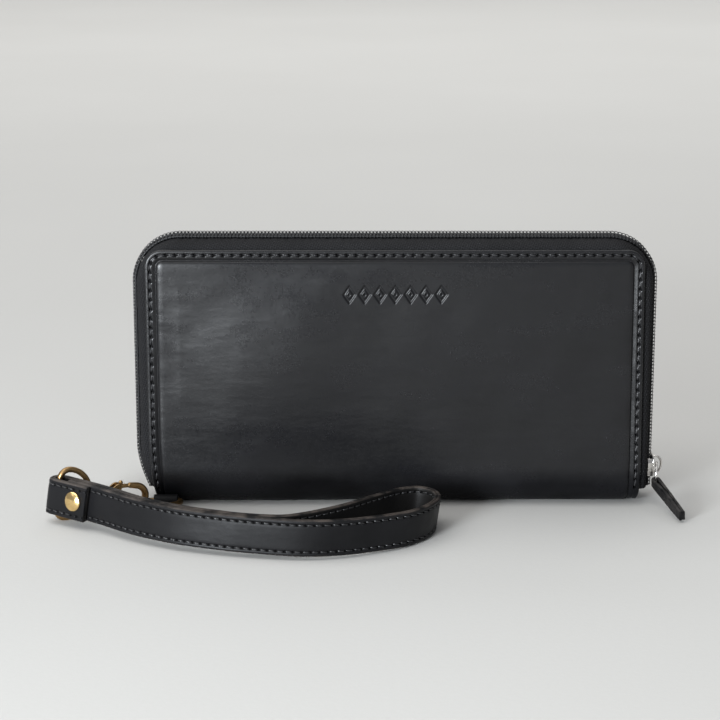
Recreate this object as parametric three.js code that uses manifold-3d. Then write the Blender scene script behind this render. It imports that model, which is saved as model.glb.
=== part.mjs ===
// Zip-around wristlet wallet: a long leather wallet that stands on its rounded spine, with a zip
// round three sides, card slots and a zipped coin pocket inside, and a wrist strap held by a
// swivel clasp on a ring at the left end of the spine.
//
// Units are millimetres. X runs along the wallet, Y from the front face to the back face and Z up.
// The origin is under the middle of the spine, at its lowest line.

import * as THREE from 'three';
import { mergeVertices } from 'three/addons/utils/BufferGeometryUtils.js';
import Module from 'manifold-3d';

const wasm = await Module();
wasm.setup();

// ---------------------------------------------------------------- driving dimensions

// outer leather
const HALF_WIDTH = 93.1;
const LEATHER_TOP = 98.6;
const HALF_THICK = 12.0;
const LEATHER = 1.4;
const TOP_CORNER = 6.5;
const SPINE_CORNER = 5.0;
const SPINE_HEIGHT = 14.0;
const SPINE_STEPS = 24;
const SPINE_FLAT_DROP = 0.13; // how far the spine's curve is cut short where it rests

// layers of one cover, as distances from the mid plane
const SEAM_GAP = 0.3;
const LAYER_GAP = 0.1;
const BOARD = { outer: 10.5, inner: 9.7, halfWidth: 87, bottom: 15, top: 92, corner: 8 };
const LINING = { outer: 9.6, inner: 9.1, halfWidth: 92.1, bottom: 14.4, top: 97.6, corner: 12.3 };
const SPINE_LINING = { gap: 0.1, thick: 0.6, halfWidth: 86 };
const CARD_BASE = { outer: 8.1, inner: 7.6, halfWidth: 82, bottom: 16, top: 84, corner: 2 };
const CARD_SLOT = { first: 7.5, thick: 0.45, pitch: 0.5, firstTop: 76, step: 10, count: 4 };
const GUSSET = { outerY: 8.95, innerY: 4.4, outX: 88.6, foldX: 83.4, thick: 0.5, foldThick: 0.8 };
const GUSSET_Z = { bottom: 16, top: 82 };

// coin pocket in the middle
const COIN_WALL = { outer: 4.2, inner: 3.7, halfWidth: 89, bottom: 16, top: 84, corner: 3 };
const COIN_EDGE = { halfWidth: 81, bottom: 17, top: 80, thick: 0.6, halfThick: 3.6 };
const COIN_TAPE = { halfWidth: 79, bottom: 80.5, top: 83.6, thick: 0.4, inner: 0.5 };
const COIN_COIL = { halfWidth: 78, outer: 2.1, inner: 0.45, height: 1.5, gap: 0.1, chamfer: 0.35 };
const COIN_SLIDER = { x: 68, length: 7, halfWidth: 3.1, plate: 0.8, clear: 0.3, underInset: 0.4 };
const COIN_POST = { length: 1.8, half: 0.18 };
const COIN_LUG = { half: 0.7, behind: 2.4, ahead: 1.6, high: 2.0, sink: 0.2, eye: 0.65 };
const COIN_PULL = { behind: 0.4, high: 0.95, wire: 0.45, half: 2.3, arm: 1, armLength: 5, length: 16 };

// main zip
const ZIP_BASE = 2.45;
const ZIP_TAPE = 0.5;
const ZIP_RADIUS = 15.75;
const ZIP_END = 6.0;
const ZIP_BACK_START = 17.9;
const ZIP_CORNER_STEPS = 12;
const COIL = { inner: 0.6, outer: 3.0, height: 1.95, gap: 0.05, chamfer: 0.45 };
// half the tape's section, as distances outwards from the zip line and across from the mid plane
const TAPE_LINE = [
  [-6.9, 10.25],
  [-2.9, 10.25],
  [-1.25, 9.5],
  [-0.3, 7.9],
  [0, 5.6],
  [0, 0.65],
];
const TAPE_SEWN_POINTS = 2; // points of the tape's section that lie behind the leather
const SLIDER = { z: 13.4, length: 8, halfWidth: 4.6, clear: 0.3, plate: 0.9, flange: 1.1 };
const SLIDER_POST = { half: 0.3, height: 2.2 };
const BRIDGE_STEPS = 14;
const BRIDGE = { rise: 2.7, wire: 0.7, halfLength: 3.0, sink: 0.4, shoulder: 0.6, shoulderIn: 0.2 };
const PULL_RING = { radius: 4.2, wire: 0.55, x: 100.2, y: -2.2, z: 10.1 };
const PULL_TAB = { width: 4.8, neck: 3.0, thick: 2.4, fold: 3.4, wideFrom: 0.4, thinFrom: 0.35 };
const PULL_EYE = { radius: 1.2, fromEnd: 1.9, reach: 6 };
const PULL_STEPS = 16;
const PULL_TAB_LINE = [
  [100.25, -3.6, 7.75],
  [101.2, -9.5, 6.4],
  [102.6, -16.5, 5.1],
  [104.2, -23.5, 3.9],
  [106.0, -31.0, 2.85],
];

// tab and ring at the left end of the spine
const TAB = { x: -86.4, width: 8, hole: 1.4, skin: 1.05, tailY: -6.7, tailLow: 0.75, tailHigh: 1.9 };
const TAB_LOOP = { fromDeg: 62, turnDeg: 208, steps: 14 };
const RING = { x: -88.97, y: -11.2, z: 3.4, wire: 1.1, tiltDeg: 15 };
const RING_SHAPE = { half: 8.4, straight: 2.25, corner: 1.6 };

// swivel clasp, drawn along its own axis, with the swivel at zero
const CLASP_AT = [-108.7, -21.15, 7.69];
const CLASP_DIRECTION = [0.902, 0.403, -0.155];
const CLAW = { wire: 1.25, half: 3.9, bend: 12.6, tip: 9.7, neck: 3.0, bendSteps: 10, steps: 36 };
// the start of the claw's wire, as distances ahead of the neck and below the axis
const CLAW_START = [
  [0, 1.2],
  [1.6, 3.2],
  [4.0, 3.9],
];
const BARREL = { radius: 3.0, back: -1.2, front: 4.2, bore: 1.3 };
const CHAMBER = { radius: 2.2, back: 0.8, front: 3.0 };
const SHOULDER = { radius: 2.6, behind: 0.6, below: 0.6 };
const EAR = { behind: 2.2, low: 0.5, half: 1.9, beyondPin: 1.3, abovePin: 1.2 };
const GATE_SLOT = { behind: 0.2, low: 0.9, clear: 0.15, reach: 3 };
const STEM = { radius: 1.0, head: 1.9, headBack: 1.1, headFront: 2.7, inLoop: 0.4 };
const COLLAR = { radius: 1.9, behind: 0.6, ahead: 1.6 };
const EYE = { wire: 1.1, bar: -17.5, half: 8.75, front: -5.5, corner: 3.0 };
const GATE = { pivotX: 5.15, pivotY: 3.3, endX: 9.35, endY: 3.75 };
const GATE_SHAPE = { wire: 0.85, halfThick: 1.1, knuckle: 0.95 };
const THUMB = { from: 0.6, to: 1.2, high: 3.2, wire: 0.8, end: 1.05 };
const GATE_PIN = { radius: 0.45, half: 2.1, clear: 0.05 };
const THROUGH = 4; // half length of a hole cut right through the clasp

// wrist strap, standing on its edge
const STRAP = { width: 13, ply: 1.2, plyGap: 0.04, lift: 0.0235, liftFrom: 15, ground: 0.25 };
const STRAP_LEAN = { level: 10.4, x: 0.143, y: 0.064 };
const STRAP_STEPS = 96;
// [fraction of the steps, distance along the strap]: short steps where it folds round the eye
const STRAP_SPACING = [[0, 0], [0.04, 12], [0.3, 27], [1, null]];
// plan of the strap: the straight stack beside the eye, then the open loop at the far end
const STRAP_STACK = [
  [-124.5, -28.2],
  [-117.1, -33.4],
  [-110.6, -38.0],
  [-102.9, -44.2],
  [-94.3, -51.4],
  [-80.0, -60.0],
  [-69.1, -64.3],
  [-51.6, -69.4],
];
const STRAP_LOOP = [
  [-41.0, -66.6],
  [-33.0, -62.9],
  [-20.0, -53.0],
  [-8.0, -40.5],
  [1.0, -31.9],
  [8.0, -29.2],
  [13.2, -32.4],
  [15.0, -39.0],
  [12.4, -48.0],
  [5.4, -57.3],
  [-4.3, -63.4],
  [-18.7, -69.4],
  [-32.6, -71.6],
];
const STRAP_STACK_PITCH = 2.64;
const FLAP_REACH = [16.4, 12, 8, 4, 1];
const BACK_RUN = [1, 4, 8, 12, 16, 22, 28, 34, 40, 48, 56, 64, 72, 80];
const FRONT_RUN = [80, 72, 64, 56, 48, 40, 34, 28, 22, 16, 12, 8, 4.9];
const FOLD_DEGREES = [150, 120, 90, 60, 30];
const RIVET = { x: -117.1, y: -33.4, cap: 3.6, capThick: 1.3, post: 1.2, hole: 1.5, out: 3.95 };
const RIVET_CROWN = { radiusShare: 0.82, from: 0.3, rimTo: 0.5 };
const RIVET_BACK = { radiusShare: 0.95, thick: 1.0 };
const RIVET_POST = { sunk: 0.3, inCap: 0.2 };
const RIVET_REACH = 9; // half length of the cut for the rivet's hole

// ---------------------------------------------------------------- materials

const material = (color, roughness, metalness = 0) =>
  new THREE.MeshStandardMaterial({ color, roughness, metalness });
const blackLeather = () => material(0x17171a, 0.45);
const innerLeather = () => material(0x1d1c1e, 0.55);
const liningCloth = () => material(0x2a2829, 0.9);
const boardCard = () => material(0x7a6a52, 0.9);
const blackTape = () => material(0x141416, 0.9);
const blackNylon = () => material(0x101012, 0.4);
const nickel = () => material(0xb9b9b6, 0.25, 1);
const antiqueBrass = () => material(0x8a6b3c, 0.4, 1);
const polishedBrass = () => material(0xd6b36a, 0.2, 1);

// ---------------------------------------------------------------- helpers

const object = new THREE.Group();
object.name = 'wristlet_wallet';

function add(name, geometry, meshMaterial) {
  const mesh = new THREE.Mesh(geometry, meshMaterial);
  mesh.name = name;
  object.add(mesh);
  return mesh;
}

function positionsOnly(geometry) {
  const bare = new THREE.BufferGeometry();
  bare.setAttribute('position', geometry.getAttribute('position').clone());
  if (geometry.index) bare.setIndex(geometry.index.clone());
  return mergeVertices(bare, 1e-4);
}

function toSolid(geometry) {
  const bare = positionsOnly(geometry);
  const mesh = new wasm.Mesh({
    numProp: 3,
    vertProperties: new Float32Array(bare.getAttribute('position').array),
    triVerts: new Uint32Array(bare.index.array),
  });
  return new wasm.Manifold(mesh);
}

function toGeometry(solid) {
  const mesh = solid.getMesh();
  const geometry = new THREE.BufferGeometry();
  geometry.setAttribute('position', new THREE.BufferAttribute(new Float32Array(mesh.vertProperties), 3));
  geometry.setIndex(new THREE.BufferAttribute(new Uint32Array(mesh.triVerts), 1));
  geometry.computeVertexNormals();
  return geometry;
}

const fuse = (...parts) => toGeometry(parts.map(toSolid).reduce((a, b) => a.add(b)));
const cut = (base, ...tools) => {
  const solids = tools.map(toSolid);
  return toGeometry(solids.reduce((a, b) => a.subtract(b), toSolid(base)));
};
const overlap = (a, b) => toGeometry(toSolid(a).intersect(toSolid(b)));

// Moves every vertex of a geometry through a function of its position.
function remap(geometry, place) {
  const bare = positionsOnly(geometry);
  const position = bare.getAttribute('position');
  const from = new THREE.Vector3();
  for (let i = 0; i < position.count; i += 1) {
    from.fromBufferAttribute(position, i);
    const to = place(from);
    position.setXYZ(i, to.x, to.y, to.z);
  }
  bare.computeVertexNormals();
  return bare;
}

function roundedShape(halfWidth, low, high, lowRadius, highRadius) {
  const shape = new THREE.Shape();
  shape.moveTo(-halfWidth + lowRadius, low);
  shape.lineTo(halfWidth - lowRadius, low);
  if (lowRadius > 0) {
    shape.absarc(halfWidth - lowRadius, low + lowRadius, lowRadius, -Math.PI / 2, 0, false);
  }
  shape.lineTo(halfWidth, high - highRadius);
  if (highRadius > 0) {
    shape.absarc(halfWidth - highRadius, high - highRadius, highRadius, 0, Math.PI / 2, false);
  }
  shape.lineTo(-halfWidth + highRadius, high);
  if (highRadius > 0) {
    shape.absarc(-halfWidth + highRadius, high - highRadius, highRadius, Math.PI / 2, Math.PI, false);
  }
  shape.lineTo(-halfWidth, low + lowRadius);
  if (lowRadius > 0) {
    shape.absarc(-halfWidth + lowRadius, low + lowRadius, lowRadius, Math.PI, 1.5 * Math.PI, false);
  }
  return shape;
}

// A flat plate: the shape is drawn in X and Z, and fills Y from one depth to the other.
function plate(shape, yA, yB, curveSegments = 6) {
  const depth = Math.abs(yB - yA);
  const geometry = new THREE.ExtrudeGeometry(shape, { depth, bevelEnabled: false, curveSegments });
  geometry.rotateX(Math.PI / 2);
  geometry.translate(0, Math.max(yA, yB), 0);
  return geometry;
}

// A bar of constant section: the shape is drawn in Y and Z, and fills X between two limits.
function bar(shape, xLow, xHigh, curveSegments = 8) {
  const geometry = new THREE.ExtrudeGeometry(shape, {
    depth: xHigh - xLow,
    bevelEnabled: false,
    curveSegments,
  });
  return remap(geometry, (p) => new THREE.Vector3(xLow + p.z, p.x, p.y));
}

function polygon(points) {
  return new THREE.Shape(points.map(([a, b]) => new THREE.Vector2(a, b)));
}

function box(low, high) {
  const geometry = new THREE.BoxGeometry(high[0] - low[0], high[1] - low[1], high[2] - low[2]);
  geometry.translate((low[0] + high[0]) / 2, (low[1] + high[1]) / 2, (low[2] + high[2]) / 2);
  return geometry;
}

// A round rod between two points.
function rod(from, to, radius, sides = 16) {
  const a = new THREE.Vector3(...from);
  const b = new THREE.Vector3(...to);
  const geometry = new THREE.CylinderGeometry(radius, radius, a.distanceTo(b), sides);
  const turn = new THREE.Quaternion().setFromUnitVectors(
    new THREE.Vector3(0, 1, 0),
    b.clone().sub(a).normalize(),
  );
  geometry.applyQuaternion(turn);
  geometry.translate((a.x + b.x) / 2, (a.y + b.y) / 2, (a.z + b.z) / 2);
  return geometry;
}

function ball(at, radius, sides = 12) {
  const geometry = new THREE.SphereGeometry(radius, sides, 8);
  geometry.translate(...at);
  return geometry;
}

// A bent wire through a list of points, as a tube with closed ends.
function wire(points, radius, steps, sides = 7) {
  const along = points.map((p) => new THREE.Vector3(...p));
  const curve = new THREE.CatmullRomCurve3(along, false, 'centripetal');
  const circle = new THREE.Shape();
  circle.absarc(0, 0, radius, 0, 2 * Math.PI, false);
  return new THREE.ExtrudeGeometry(circle, {
    extrudePath: curve,
    steps,
    bevelEnabled: false,
    curveSegments: sides,
  });
}

// A closed loop of wire lying in the local X Y plane; pointAt gives the centre line for a turn
// fraction, going anticlockwise.
function closedWire(pointAt, radius, steps, sides = 12) {
  const bigRadius = 10 * radius;
  const torus = new THREE.TorusGeometry(bigRadius, radius, sides, steps);
  const step = 1e-3;
  return remap(torus, (p) => {
    const turn = (Math.atan2(p.y, p.x) / (2 * Math.PI) + 1) % 1;
    const out = Math.hypot(p.x, p.y) - bigRadius;
    const centre = pointAt(turn);
    const ahead = pointAt((turn + step) % 1);
    const behind = pointAt((turn - step + 1) % 1);
    const length = Math.hypot(ahead[0] - behind[0], ahead[1] - behind[1]);
    const normalX = (ahead[1] - behind[1]) / length;
    const normalY = -(ahead[0] - behind[0]) / length;
    return new THREE.Vector3(centre[0] + out * normalX, centre[1] + out * normalY, p.z);
  });
}

// Walks round a closed outline of straight pieces and arcs and returns the point at a fraction.
function outlineWalker(pieces) {
  const total = pieces.reduce((sum, piece) => sum + piece.length, 0);
  return (fraction) => {
    let left = fraction * total;
    for (const piece of pieces) {
      if (left <= piece.length) return piece.at(left / piece.length);
      left -= piece.length;
    }
    const last = pieces[pieces.length - 1];
    return last.at(1);
  };
}

const straightPiece = (a, b) => ({
  length: Math.hypot(b[0] - a[0], b[1] - a[1]),
  at: (t) => [a[0] + t * (b[0] - a[0]), a[1] + t * (b[1] - a[1])],
});

const arcPiece = (centre, radiusX, radiusY, from, to) => ({
  length: ((radiusX + radiusY) / 2) * Math.abs(to - from),
  at: (t) => {
    const angle = from + t * (to - from);
    return [centre[0] + radiusX * Math.cos(angle), centre[1] + radiusY * Math.sin(angle)];
  },
});

// ---------------------------------------------------------------- outer leather

// Half-ellipse points of the spine from the front edge, under the wallet, to the back edge, cut
// flat where the wallet stands on it.
function spineArc(halfThick, drop, reverse) {
  const points = [];
  for (let i = 0; i <= SPINE_STEPS; i += 1) {
    const angle = Math.PI + (Math.PI * i) / SPINE_STEPS;
    const z = Math.max(0, SPINE_HEIGHT + drop * Math.sin(angle));
    points.push([halfThick * Math.cos(angle), z]);
  }
  return reverse ? points.reverse() : points;
}

function frontLeather() {
  const inside = HALF_THICK - LEATHER;
  const profile = polygon([
    [-HALF_THICK, LEATHER_TOP],
    ...spineArc(HALF_THICK, SPINE_HEIGHT + SPINE_FLAT_DROP, false),
    ...spineArc(inside, SPINE_HEIGHT - LEATHER, true),
    [-inside, LEATHER_TOP],
  ]);
  const sheet = bar(profile, -HALF_WIDTH, HALF_WIDTH);
  const outline = roundedShape(HALF_WIDTH, 0, LEATHER_TOP, SPINE_CORNER, TOP_CORNER);
  return overlap(sheet, plate(outline, -2 * HALF_THICK, 2 * HALF_THICK));
}

function backLeather() {
  const outline = roundedShape(HALF_WIDTH, SPINE_HEIGHT + SEAM_GAP, LEATHER_TOP, 0, TOP_CORNER);
  return plate(outline, HALF_THICK - LEATHER, HALF_THICK);
}

function spineLining() {
  const outer = HALF_THICK - LEATHER - SPINE_LINING.gap;
  const inner = outer - SPINE_LINING.thick;
  const drop = SPINE_HEIGHT - LEATHER - SPINE_LINING.gap;
  const profile = polygon([
    ...spineArc(outer, drop, false),
    ...spineArc(inner, drop - SPINE_LINING.thick, true),
  ]);
  return bar(profile, -SPINE_LINING.halfWidth, SPINE_LINING.halfWidth);
}

// ---------------------------------------------------------------- cover layers

// side is -1 for the front cover and +1 for the back cover.
function layer(spec, side, top = spec.top) {
  const shape = roundedShape(spec.halfWidth, spec.bottom, top, 0, spec.corner);
  return plate(shape, side * spec.outer, side * spec.inner);
}

function cardSlot(side, index) {
  const outer = CARD_SLOT.first - index * CARD_SLOT.pitch;
  const spec = { ...CARD_BASE, outer, inner: outer - CARD_SLOT.thick };
  return layer(spec, side, CARD_SLOT.firstTop - index * CARD_SLOT.step);
}

// A side gusset: a sheet with one inward fold, from the cover lining to the coin pocket.
function gusset(side, end) {
  const foldY = (GUSSET.outerY + GUSSET.innerY) / 2;
  const inset = GUSSET.thick;
  const points = [
    [GUSSET.outX, GUSSET.outerY],
    [GUSSET.foldX, foldY],
    [GUSSET.outX, GUSSET.innerY],
    [GUSSET.outX + inset, GUSSET.innerY],
    [GUSSET.foldX + GUSSET.foldThick, foldY],
    [GUSSET.outX + inset, GUSSET.outerY],
  ].map(([x, y]) => [end * x, side * y]);
  const geometry = new THREE.ExtrudeGeometry(polygon(points), {
    depth: GUSSET_Z.top - GUSSET_Z.bottom,
    bevelEnabled: false,
  });
  geometry.translate(0, 0, GUSSET_Z.bottom);
  return geometry;
}

function addCover(word, side) {
  add(`${word}_board`, layer(BOARD, side), boardCard());
  add(`${word}_lining`, layer(LINING, side), liningCloth());
  add(`${word}_card_panel`, layer(CARD_BASE, side), innerLeather());
  for (let i = 0; i < CARD_SLOT.count; i += 1) {
    add(`${word}_card_slot_${i + 1}`, cardSlot(side, i), innerLeather());
  }
  add(`${word}_gusset_left`, gusset(side, -1), liningCloth());
  add(`${word}_gusset_right`, gusset(side, 1), liningCloth());
}

// ---------------------------------------------------------------- main zip

// Stations round the zip: up the right side, over the top and down the left side.
function zipStations(bottom) {
  const x = HALF_WIDTH + ZIP_BASE;
  const top = LEATHER_TOP + ZIP_BASE;
  const stations = [{ x, z: bottom, nx: 1, nz: 0 }];
  const corners = [
    [x - ZIP_RADIUS, 0],
    [-x + ZIP_RADIUS, Math.PI / 2],
  ];
  for (const [cx, start] of corners) {
    for (let i = 0; i <= ZIP_CORNER_STEPS; i += 1) {
      const angle = start + (Math.PI / 2) * (i / ZIP_CORNER_STEPS);
      const nx = Math.cos(angle);
      const nz = Math.sin(angle);
      stations.push({ x: cx + ZIP_RADIUS * nx, z: top - ZIP_RADIUS + ZIP_RADIUS * nz, nx, nz });
    }
  }
  stations.push({ x: -x, z: bottom, nx: -1, nz: 0 });
  return stations;
}

// Sweeps a section drawn as (outwards, across) round the stations.
function zipSweep(section, stations) {
  const steps = stations.length - 1;
  const straight = new THREE.ExtrudeGeometry(section, { depth: steps, steps, bevelEnabled: false });
  return remap(straight, (p) => {
    const station = stations[Math.round(p.z)];
    return new THREE.Vector3(station.x + station.nx * p.x, p.y, station.z + station.nz * p.x);
  });
}

// The tape is sewn behind the leather edge, turns outwards and ends under the coil.
function tapeSection(side, sewn) {
  const line = sewn ? TAPE_LINE : TAPE_LINE.slice(TAPE_SEWN_POINTS);
  const half = ZIP_TAPE / 2;
  const outside = [];
  const inside = [];
  line.forEach(([out, across], i) => {
    const before = line[Math.max(i - 1, 0)];
    const after = line[Math.min(i + 1, line.length - 1)];
    const length = Math.hypot(after[0] - before[0], after[1] - before[1]);
    const normalOut = -(after[1] - before[1]) / length;
    const normalAcross = (after[0] - before[0]) / length;
    outside.push([out + half * normalOut, side * (across + half * normalAcross)]);
    inside.push([out - half * normalOut, side * (across - half * normalAcross)]);
  });
  return polygon([...outside, ...inside.reverse()]);
}

function coilSection(side) {
  const low = ZIP_TAPE / 2 + COIL.gap;
  const high = low + COIL.height;
  const c = COIL.chamfer;
  const points = [
    [low, COIL.inner],
    [high - c, COIL.inner],
    [high, COIL.inner + c],
    [high, COIL.outer - c],
    [high - c, COIL.outer],
    [low, COIL.outer],
  ];
  return polygon(points.map(([out, across]) => [out, side * across]));
}

// A short straight stretch of the zip at one end, from ZIP_END up to a height.
function endStations(end, top) {
  const x = end * (HALF_WIDTH + ZIP_BASE);
  const stations = [
    { x, z: ZIP_END, nx: end, nz: 0 },
    { x, z: top, nx: end, nz: 0 },
  ];
  return end > 0 ? stations : stations.reverse();
}

// The front tape is sewn behind the leather down to the spine, and hangs free beside the spine.
function frontTape() {
  const sewnFrom = SPINE_HEIGHT + SEAM_GAP;
  const sewn = zipSweep(tapeSection(-1, true), zipStations(sewnFrom));
  const freeRight = zipSweep(tapeSection(-1, false), endStations(1, sewnFrom + 1));
  const freeLeft = zipSweep(tapeSection(-1, false), endStations(-1, sewnFrom + 1));
  return fuse(sewn, freeRight, freeLeft);
}

// The short rear stretch of tape and coil that stays with the spine at one end of the zip.
function zipEnd(end) {
  const stations = endStations(end, ZIP_BACK_START - SEAM_GAP);
  const tape = zipSweep(tapeSection(1, false), stations);
  const coil = zipSweep(coilSection(1), stations);
  return { tape, coil };
}

function sliderBody() {
  const coilTop = HALF_WIDTH + ZIP_BASE + ZIP_TAPE / 2 + COIL.gap + COIL.height;
  const tapeTop = HALF_WIDTH + ZIP_BASE + ZIP_TAPE / 2;
  const tapeUnder = HALF_WIDTH + ZIP_BASE - ZIP_TAPE / 2;
  const low = SLIDER.z - SLIDER.length / 2;
  const high = SLIDER.z + SLIDER.length / 2;
  const plateLow = coilTop + SLIDER.clear;
  const plateHigh = plateLow + SLIDER.plate;
  const underHigh = tapeUnder - SLIDER.clear;
  const underLow = underHigh - SLIDER.plate;
  const w = SLIDER.halfWidth;
  const outerPlate = box([plateLow, -w, low], [plateHigh, w, high]);
  const innerPlate = box([underLow, -w, low], [underHigh, w, high]);
  const flangeFront = box([tapeTop + SLIDER.clear, -w, low], [plateHigh, -w + SLIDER.flange, high]);
  const flangeBack = box([tapeTop + SLIDER.clear, w - SLIDER.flange, low], [plateHigh, w, high]);
  const postFrom = [underLow, -SLIDER_POST.half, low];
  const post = box(postFrom, [plateHigh, SLIDER_POST.half, low + SLIDER_POST.height]);
  // half of the bridge from its foot up, as distances out from the plate and along from its middle
  const half = [
    [-BRIDGE.sink, BRIDGE.halfLength],
    [BRIDGE.rise * BRIDGE.shoulder, BRIDGE.halfLength - BRIDGE.shoulderIn],
    [BRIDGE.rise, BRIDGE.halfLength / 2],
  ];
  const lower = half.map(([out, along]) => [plateHigh + out, 0, SLIDER.z - along]);
  const upper = half.map(([out, along]) => [plateHigh + out, 0, SLIDER.z + along]).reverse();
  const bridge = wire([...lower, ...upper], BRIDGE.wire, BRIDGE_STEPS);
  return fuse(outerPlate, innerPlate, flangeFront, flangeBack, post, bridge);
}

// The ring lies beside the slider, in the plane of Y and Z.
function pullRing() {
  const ring = new THREE.TorusGeometry(PULL_RING.radius, PULL_RING.wire, 10, 28);
  ring.rotateY(Math.PI / 2);
  ring.translate(PULL_RING.x, PULL_RING.y, PULL_RING.z);
  return positionsOnly(ring);
}

// The direction the pull ring's wire runs in beside a point.
function ringTangent(point) {
  const radial = new THREE.Vector3(0, point.y - PULL_RING.y, point.z - PULL_RING.z).normalize();
  return new THREE.Vector3(0, -radial.z, radial.y);
}

// The leather pull: a strip folded over the ring, standing on its edge as it falls to the ground.
function pullTab() {
  const curve = new THREE.CatmullRomCurve3(PULL_TAB_LINE.map((p) => new THREE.Vector3(...p)));
  const blank = new THREE.BoxGeometry(1, 1, 1, 2, 1, PULL_STEPS);
  const at = curve.getPointAt(PULL_EYE.fromEnd / curve.getLength());
  const wireWay = ringTangent(at);
  const tab = remap(blank, (p) => {
    const t = p.z + 0.5;
    const centre = curve.getPointAt(t);
    const along = curve.getTangentAt(t);
    const wide = wireWay.clone().addScaledVector(along, -wireWay.dot(along)).normalize();
    const thin = along.clone().cross(wide).normalize();
    const widening = Math.min(1, t / PULL_TAB.wideFrom);
    const thinning = Math.min(1, t / PULL_TAB.thinFrom);
    const width = THREE.MathUtils.lerp(PULL_TAB.neck, PULL_TAB.width, widening);
    const thick = THREE.MathUtils.lerp(PULL_TAB.fold, PULL_TAB.thick, thinning);
    return centre.addScaledVector(wide, p.x * width).addScaledVector(thin, p.y * thick);
  });
  const eye = rod(
    at.clone().addScaledVector(wireWay, -PULL_EYE.reach).toArray(),
    at.clone().addScaledVector(wireWay, PULL_EYE.reach).toArray(),
    PULL_EYE.radius,
  );
  return cut(tab, eye);
}

// ---------------------------------------------------------------- coin pocket

function coinEdge() {
  const w = COIN_EDGE.halfWidth;
  const t = COIN_EDGE.thick;
  const shape = polygon([
    [-w, COIN_EDGE.top],
    [-w, COIN_EDGE.bottom],
    [w, COIN_EDGE.bottom],
    [w, COIN_EDGE.top],
    [w - t, COIN_EDGE.top],
    [w - t, COIN_EDGE.bottom + t],
    [-w + t, COIN_EDGE.bottom + t],
    [-w + t, COIN_EDGE.top],
  ]);
  return plate(shape, -COIN_EDGE.halfThick, COIN_EDGE.halfThick);
}

// One tape of the coin pocket zip: down the inside of the wall, then in to the coil.
function coinTape(side) {
  const outer = COIN_WALL.inner - LAYER_GAP;
  const t = COIN_TAPE.thick;
  const shape = polygon(
    [
      [outer, COIN_TAPE.bottom],
      [outer, COIN_TAPE.top],
      [COIN_TAPE.inner, COIN_TAPE.top],
      [COIN_TAPE.inner, COIN_TAPE.top - t],
      [outer - t, COIN_TAPE.top - t],
      [outer - t, COIN_TAPE.bottom],
    ].map(([y, z]) => [side * y, z]),
  );
  return bar(shape, -COIN_TAPE.halfWidth, COIN_TAPE.halfWidth);
}

function coinCoil(side) {
  const low = COIN_TAPE.top + COIN_COIL.gap;
  const c = COIN_COIL.chamfer;
  const shape = polygon(
    [
      [COIN_COIL.inner, low],
      [COIN_COIL.inner, low + COIN_COIL.height - c],
      [COIN_COIL.inner + c, low + COIN_COIL.height],
      [COIN_COIL.outer - c, low + COIN_COIL.height],
      [COIN_COIL.outer, low + COIN_COIL.height - c],
      [COIN_COIL.outer, low],
    ].map(([y, z]) => [side * y, z]),
  );
  return bar(shape, -COIN_COIL.halfWidth, COIN_COIL.halfWidth);
}

// Height of the coin slider's upper face.
function coinSliderTop() {
  const coilTop = COIN_TAPE.top + COIN_COIL.gap + COIN_COIL.height;
  return coilTop + COIN_SLIDER.clear + COIN_SLIDER.plate;
}

function coinSlider() {
  const s = COIN_SLIDER;
  const xLow = s.x - s.length / 2;
  const xHigh = s.x + s.length / 2;
  const high = coinSliderTop();
  const underHigh = COIN_TAPE.top - COIN_TAPE.thick - s.clear;
  const underLow = underHigh - s.plate;
  const underHalf = s.halfWidth - s.underInset;
  const flangeIn = COIN_COIL.outer + s.clear;
  const flangeLow = COIN_TAPE.top + s.clear;
  const top = box([xLow, -s.halfWidth, high - s.plate], [xHigh, s.halfWidth, high]);
  const bottom = box([xLow, -underHalf, underLow], [xHigh, underHalf, underHigh]);
  const front = box([xLow, -s.halfWidth, flangeLow], [xHigh, -flangeIn, high]);
  const back = box([xLow, flangeIn, flangeLow], [xHigh, s.halfWidth, high]);
  const post = box([xHigh - COIN_POST.length, -COIN_POST.half, underLow], [xHigh, COIN_POST.half, high]);
  const lug = box(
    [s.x - COIN_LUG.behind, -COIN_LUG.half, high - COIN_LUG.sink],
    [s.x + COIN_LUG.ahead, COIN_LUG.half, high + COIN_LUG.high],
  );
  const pivotX = s.x - COIN_PULL.behind;
  const pivotZ = high + COIN_PULL.high;
  const eye = rod([pivotX, -s.halfWidth, pivotZ], [pivotX, s.halfWidth, pivotZ], COIN_LUG.eye, 14);
  return cut(fuse(top, bottom, front, back, post, lug), eye);
}

// The pull lies flat along the coin zip; its cross wire runs through the slider's lug.
function coinPull() {
  const { wire: r, half, arm, armLength, length } = COIN_PULL;
  const x = COIN_SLIDER.x - COIN_PULL.behind;
  const z = coinSliderTop() + COIN_PULL.high;
  const crossWire = rod([x, -half, z], [x, half, z], r, 12);
  const armFront = box([x - armLength, -half, z - r], [x + r, -half + arm, z + r]);
  const armBack = box([x - armLength, half - arm, z - r], [x + r, half, z + r]);
  const paddle = box([x - length, -half, z - r], [x - armLength, half, z + r]);
  return fuse(crossWire, armFront, armBack, paddle);
}

// ---------------------------------------------------------------- tab and ring on the spine

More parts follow.
